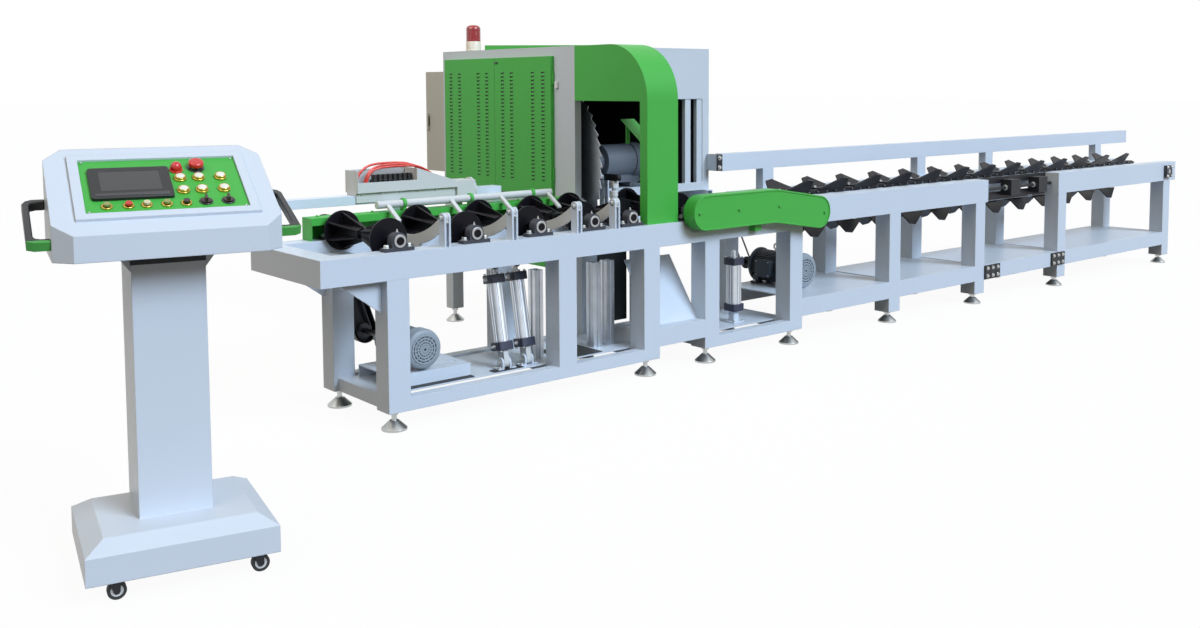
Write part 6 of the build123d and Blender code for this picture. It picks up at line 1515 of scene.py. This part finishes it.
@dataclass
class Console:
    """Screen, lamps, button rings, moulded handles and neck of the wheeled console."""

    panel_z: float = 1.215
    panel_tilt: float = 28.31
    skin: float = 0.003
    screen: Flat = (-0.092, 0.015)
    bezel: Point = (0.238, 0.173, 0.010)
    bezel_z: Flat = (0.0025, 0.0140)
    opening: Point = (0.176, 0.108, 0.003)
    glass: Point = (0.178, 0.110, 0.003)
    glass_z: Flat = (0.004, 0.0130)
    glass_rise: float = 0.010
    strip: Point = (0.214, 0.014, 0.004)
    strip_z: Flat = (0.013, 0.0150)
    strip_drop: float = 0.068
    lamp_columns: Point = (0.057, 0.113, 0.180)
    lamp_rows: Flat = (0.036, -0.035)
    lamp_rim: Point = (0.0142, 0.0190, 0.007)
    lamp_neck: Point = (0.0125, 0.0165, 0.007)
    lamp_lens: Profile = ((0, 0.0144), (0.013, 0.0144), (0.016, 0.011), (0.0175, 0.006), (0.018, 0.0))
    red_lamp: Flat = (0.052, 0.090)
    red_dome: Profile = ((0, 0.021), (0.004, 0.021), (0.005, 0.0175), (0.016, 0.0175), (0.024, 0.014),
                         (0.029, 0.008), (0.031, 0.0))
    button_x: tuple[float, ...] = (-0.172, -0.111, -0.059, -0.001, 0.056)
    button_y: float = -0.104
    button_ring: Point = (0.0107, 0.0165, 0.0055)
    selectors: Profile = ((0.115, -0.099), (0.182, -0.099))
    selector_ring: Point = (0.0156, 0.0205, 0.004)
    stop: Flat = (0.114, 0.098)
    stop_ring: Point = (0.0150, 0.0270, 0.004)
    panel_mid: Flat = (0.004, 0.008)
    panel_screws: Flat = (0.227, 0.140)
    panel_screw: float = 0.0035
    handle_mid: float = 1.118
    handle_rise: float = 18.435
    handle_half: float = 0.1455
    handle_split: float = 0.002
    handle_trim: float = 0.006
    grip_half: float = 0.0145
    foot_half: float = 0.0150
    wall: float = 0.330
    reach: float = 0.058
    bar: float = 0.013
    gusset: Profile = ((0.109, 0.962), (0.152, 1.0195), (0.109, 1.0195))
    gusset_y: Flat = (-0.070, 0.170)
    band: Point = (0.222, 0.263, 0.004)
    band_y: float = 0.050
    band_z: Flat = (0.986, 1.0195)

    def panel(self) -> Matrix:
        """Return the frame of the sloping panel."""
        return CONSOLE_PLACE @ shifted(0, 0, self.panel_z) @ turned(self.panel_tilt, "X")

    def screen_unit(self) -> None:
        """Make the touch screen's bezel, glass and lower strip."""
        here = self.panel() @ shifted(*self.screen, 0)
        bezel, glass, strip = Form(here), Form(here), Form(here)
        middle = (0.0, self.glass_rise)
        bezel.collar(rounded(*self.bezel), rounded(*self.opening, middle), self.bezel_z)
        bezel.piece("screen_bezel", BLACK_PLASTIC, CONSOLE, bevel=0.001)
        glass.prism(rounded(*self.glass, middle), self.glass_z)
        glass.piece("screen_glass", SCREEN_GLASS, CONSOLE)
        strip.prism(rounded(*self.strip, (0.0, -self.strip_drop)), self.strip_z)
        strip.piece("screen_strip", BUTTON_DARK, CONSOLE, bevel=0.0006)

    def lamps(self) -> None:
        """Make the pilot lamps with their bright rims."""
        rims, lenses, dome = Form(self.panel()), Form(self.panel()), Form(self.panel())
        for y in self.lamp_rows:
            for x in self.lamp_columns:
                rims.ring((x, y, self.skin), UP, *self.lamp_rim)
                rims.ring((x, y, self.skin + self.lamp_rim[2]), UP, *self.lamp_neck)
                lenses.lathe((x, y, self.skin), UP, self.lamp_lens, 28)
        rims.piece("lamp_rims", BRASS, CONSOLE)
        lenses.piece("lamp_lenses", LAMP_WHITE, CONSOLE)
        dome.lathe((*self.red_lamp, self.skin), UP, self.red_dome, 32)
        dome.piece("red_signal_lamp", STOP_RED, CONSOLE)

    def rings(self) -> None:
        """Make the collars round the buttons, selectors and stop, and the panel's screws."""
        collars, screws, dark = Form(self.panel()), Form(self.panel()), Form(self.panel())
        for x in self.button_x:
            collars.ring((x, self.button_y, self.skin), UP, *self.button_ring)
        for x, y in self.selectors:
            dark.ring((x, y, self.skin), UP, *self.selector_ring)
        dark.ring((*self.stop, self.skin), UP, *self.stop_ring)
        x, y = self.panel_mid
        for dx, dy in corners(*self.panel_screws):
            screws.screw((x + dx, y + dy, self.skin), UP, self.panel_screw)
        collars.piece("button_collars", BRASS, CONSOLE)
        dark.piece("selector_collars", BUTTON_DARK, CONSOLE)
        screws.piece("panel_screws", ZINC_PLATE, CONSOLE)

    def handles(self) -> None:
        """Make the moulded bridge handles with their green feet."""
        here = CONSOLE_PLACE @ shifted(0, 0, self.handle_mid) @ turned(self.handle_rise, "X")
        grips, feet = Form(here), Form(here)
        wall = self.wall
        far = wall + self.reach + self.bar - self.handle_trim
        inside = wall + self.reach - self.bar
        long, short = self.handle_half + self.bar, self.handle_half - self.bar
        split = -self.handle_half + self.handle_split
        bridge = [(wall, split), (far, split), (far, long - 0.030), (far - 0.010, long - 0.010),
                  (far - 0.028, long), (wall, long), (wall, short), (inside - 0.020, short),
                  (inside - 0.006, short - 0.006), (inside, short - 0.020), (inside, -short + 0.020),
                  (inside - 0.006, -short + 0.006), (inside - 0.020, -short), (wall, -short)]
        foot = [(wall, split), (far, split), (far, -long + 0.012), (far - 0.020, -long), (wall, -long)]
        for side in SIDES:
            grips.prism([(side * u, v) for u, v in bridge], (-self.grip_half, self.grip_half))
            feet.prism([(side * u, v) for u, v in foot], (-self.foot_half, self.foot_half))
        grip = grips.piece("handle_grips", BLACK_PLASTIC, CONSOLE, bevel=0.004)
        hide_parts("side_handles")
        feet.piece("handle_feet", GREEN_PLASTIC, CONSOLE, bevel=0.003)

    def neck(self) -> None:
        """Make the flared gussets and a dark band where the column meets the head, painted shadow under the head.
        """
        flares, band = Form(CONSOLE_PLACE), Form(CONSOLE_PLACE @ shifted(0, self.band_y, 0))
        for side in SIDES:
            flares.prism([(side * u, v) for u, v in self.gusset], self.gusset_y, Plane.XZ)
        flares.piece("column_gussets", CONSOLE_COAT, CONSOLE, bevel=0.001)
        # Painted shadow: a dark band under the head's overhang.
        band.prism(rounded(*self.band), self.band_z)
        band.piece("column_shade_band", DARK_SHEET, CONSOLE)

    def build(self) -> None:
        """Make the console's fittings."""
        self.screen_unit()
        self.lamps()
        self.rings()
        self.handles()
        self.neck()


@dataclass
class Casters:
    """Pale hubs of the console's wheels; the front pair stands turned to the side."""

    half: Flat = (0.211, 0.180)
    trail: float = 0.020
    axle_z: float = 0.028
    flank: float = 0.010
    hub: Point = (0.0046, 0.0185, 0.0009)

    def build(self) -> None:
        """Make a hub on both flanks of each wheel."""
        across, depth = self.half
        wheels = ((-across + self.trail, -depth, BACK), (across + self.trail, -depth, BACK),
                  (-across, depth + self.trail, RIGHT), (across, depth + self.trail, RIGHT))
        for index, (x, y, axis) in enumerate(wheels, 1):
            hubs = Form(CONSOLE_PLACE)
            for side in SIDES:
                out = Vector(axis) * side
                flank = Vector((x, y, self.axle_z)) + out * self.flank
                hubs.ring(tuple(flank), tuple(out), *self.hub, 36)
            hubs.piece(f"caster_hubs_{index}", WHITE_PLASTIC, f"caster_wheel_{index}_body")


@dataclass
class Beacon:
    """Signal lamp on the cabinet roof: cream base and ribbed red lens."""

    at: Flat = (1.560, 1.653)
    foot: float = 1.750
    split: float = 1.810
    top: float = 1.912
    base: float = 0.047
    lens: float = 0.046
    ribs: int = 9
    ribbed: float = 0.78
    rib_depth: float = 0.0022

    def build(self) -> None:
        """Make the lamp in place of its plain solid."""
        high, tall = self.split - self.foot, self.top - self.split
        wide, lens = self.base, self.lens
        body, glass = Form(), Form()
        profile = ((0, wide), (0.004, wide + 0.003), (0.008, wide), (high - 0.006, wide), (high - 0.004, lens),
                   (high, lens))
        body.lathe((*self.at, self.foot), UP, profile, 40)
        base = body.piece("beacon_base", CREAM_PLASTIC, FRAME)
        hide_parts("beacon")
        profile = ((0.0, lens),)
        step = tall * self.ribbed / self.ribs
        for i in range(self.ribs):
            z = tall * self.ribbed * i / self.ribs
            profile += ((z + step * 0.2, lens), (z + step * 0.5, lens - self.rib_depth), (z + step * 0.8, lens))
        profile += ((tall * 0.80, lens), (tall * 0.93, lens * 0.82), (tall, lens * 0.5), (tall, 0.0))
        glass.lathe((*self.at, self.split), UP, profile, 40)
        glass.piece("beacon_lens", RED_LENS, FRAME)


def main() -> None:
    """Build the studio, then dress the saw from the table to the console."""
    logging.basicConfig(level=logging.INFO, format="%(message)s")
    Studio().build()
    Pusher().build()
    dress_nodes()
    infeed = Motor("infeed_motor", CAST_MOTOR, "motor_grey", centre=(0.222, 0.311), radius=0.086,
                   span=(0.095, 0.440), floor=0.207, tilt_deg=35.0)
    outfeed = Motor("outfeed_motor", CAST_DRIVE, "motor_blue", centre=(2.990, 0.380), radius=0.100,
                    span=(0.145, 0.560), floor=0.268, tilt_deg=0.0, flange=0.110)
    for part in (Bearings(), infeed, outfeed, KickerCylinders(), AirGear(), TableTrim(), SawDoors(), Outfeed(),
                 Console(), Casters(), Beacon()):
        part.build()


if __name__ == "__main__":
    main()
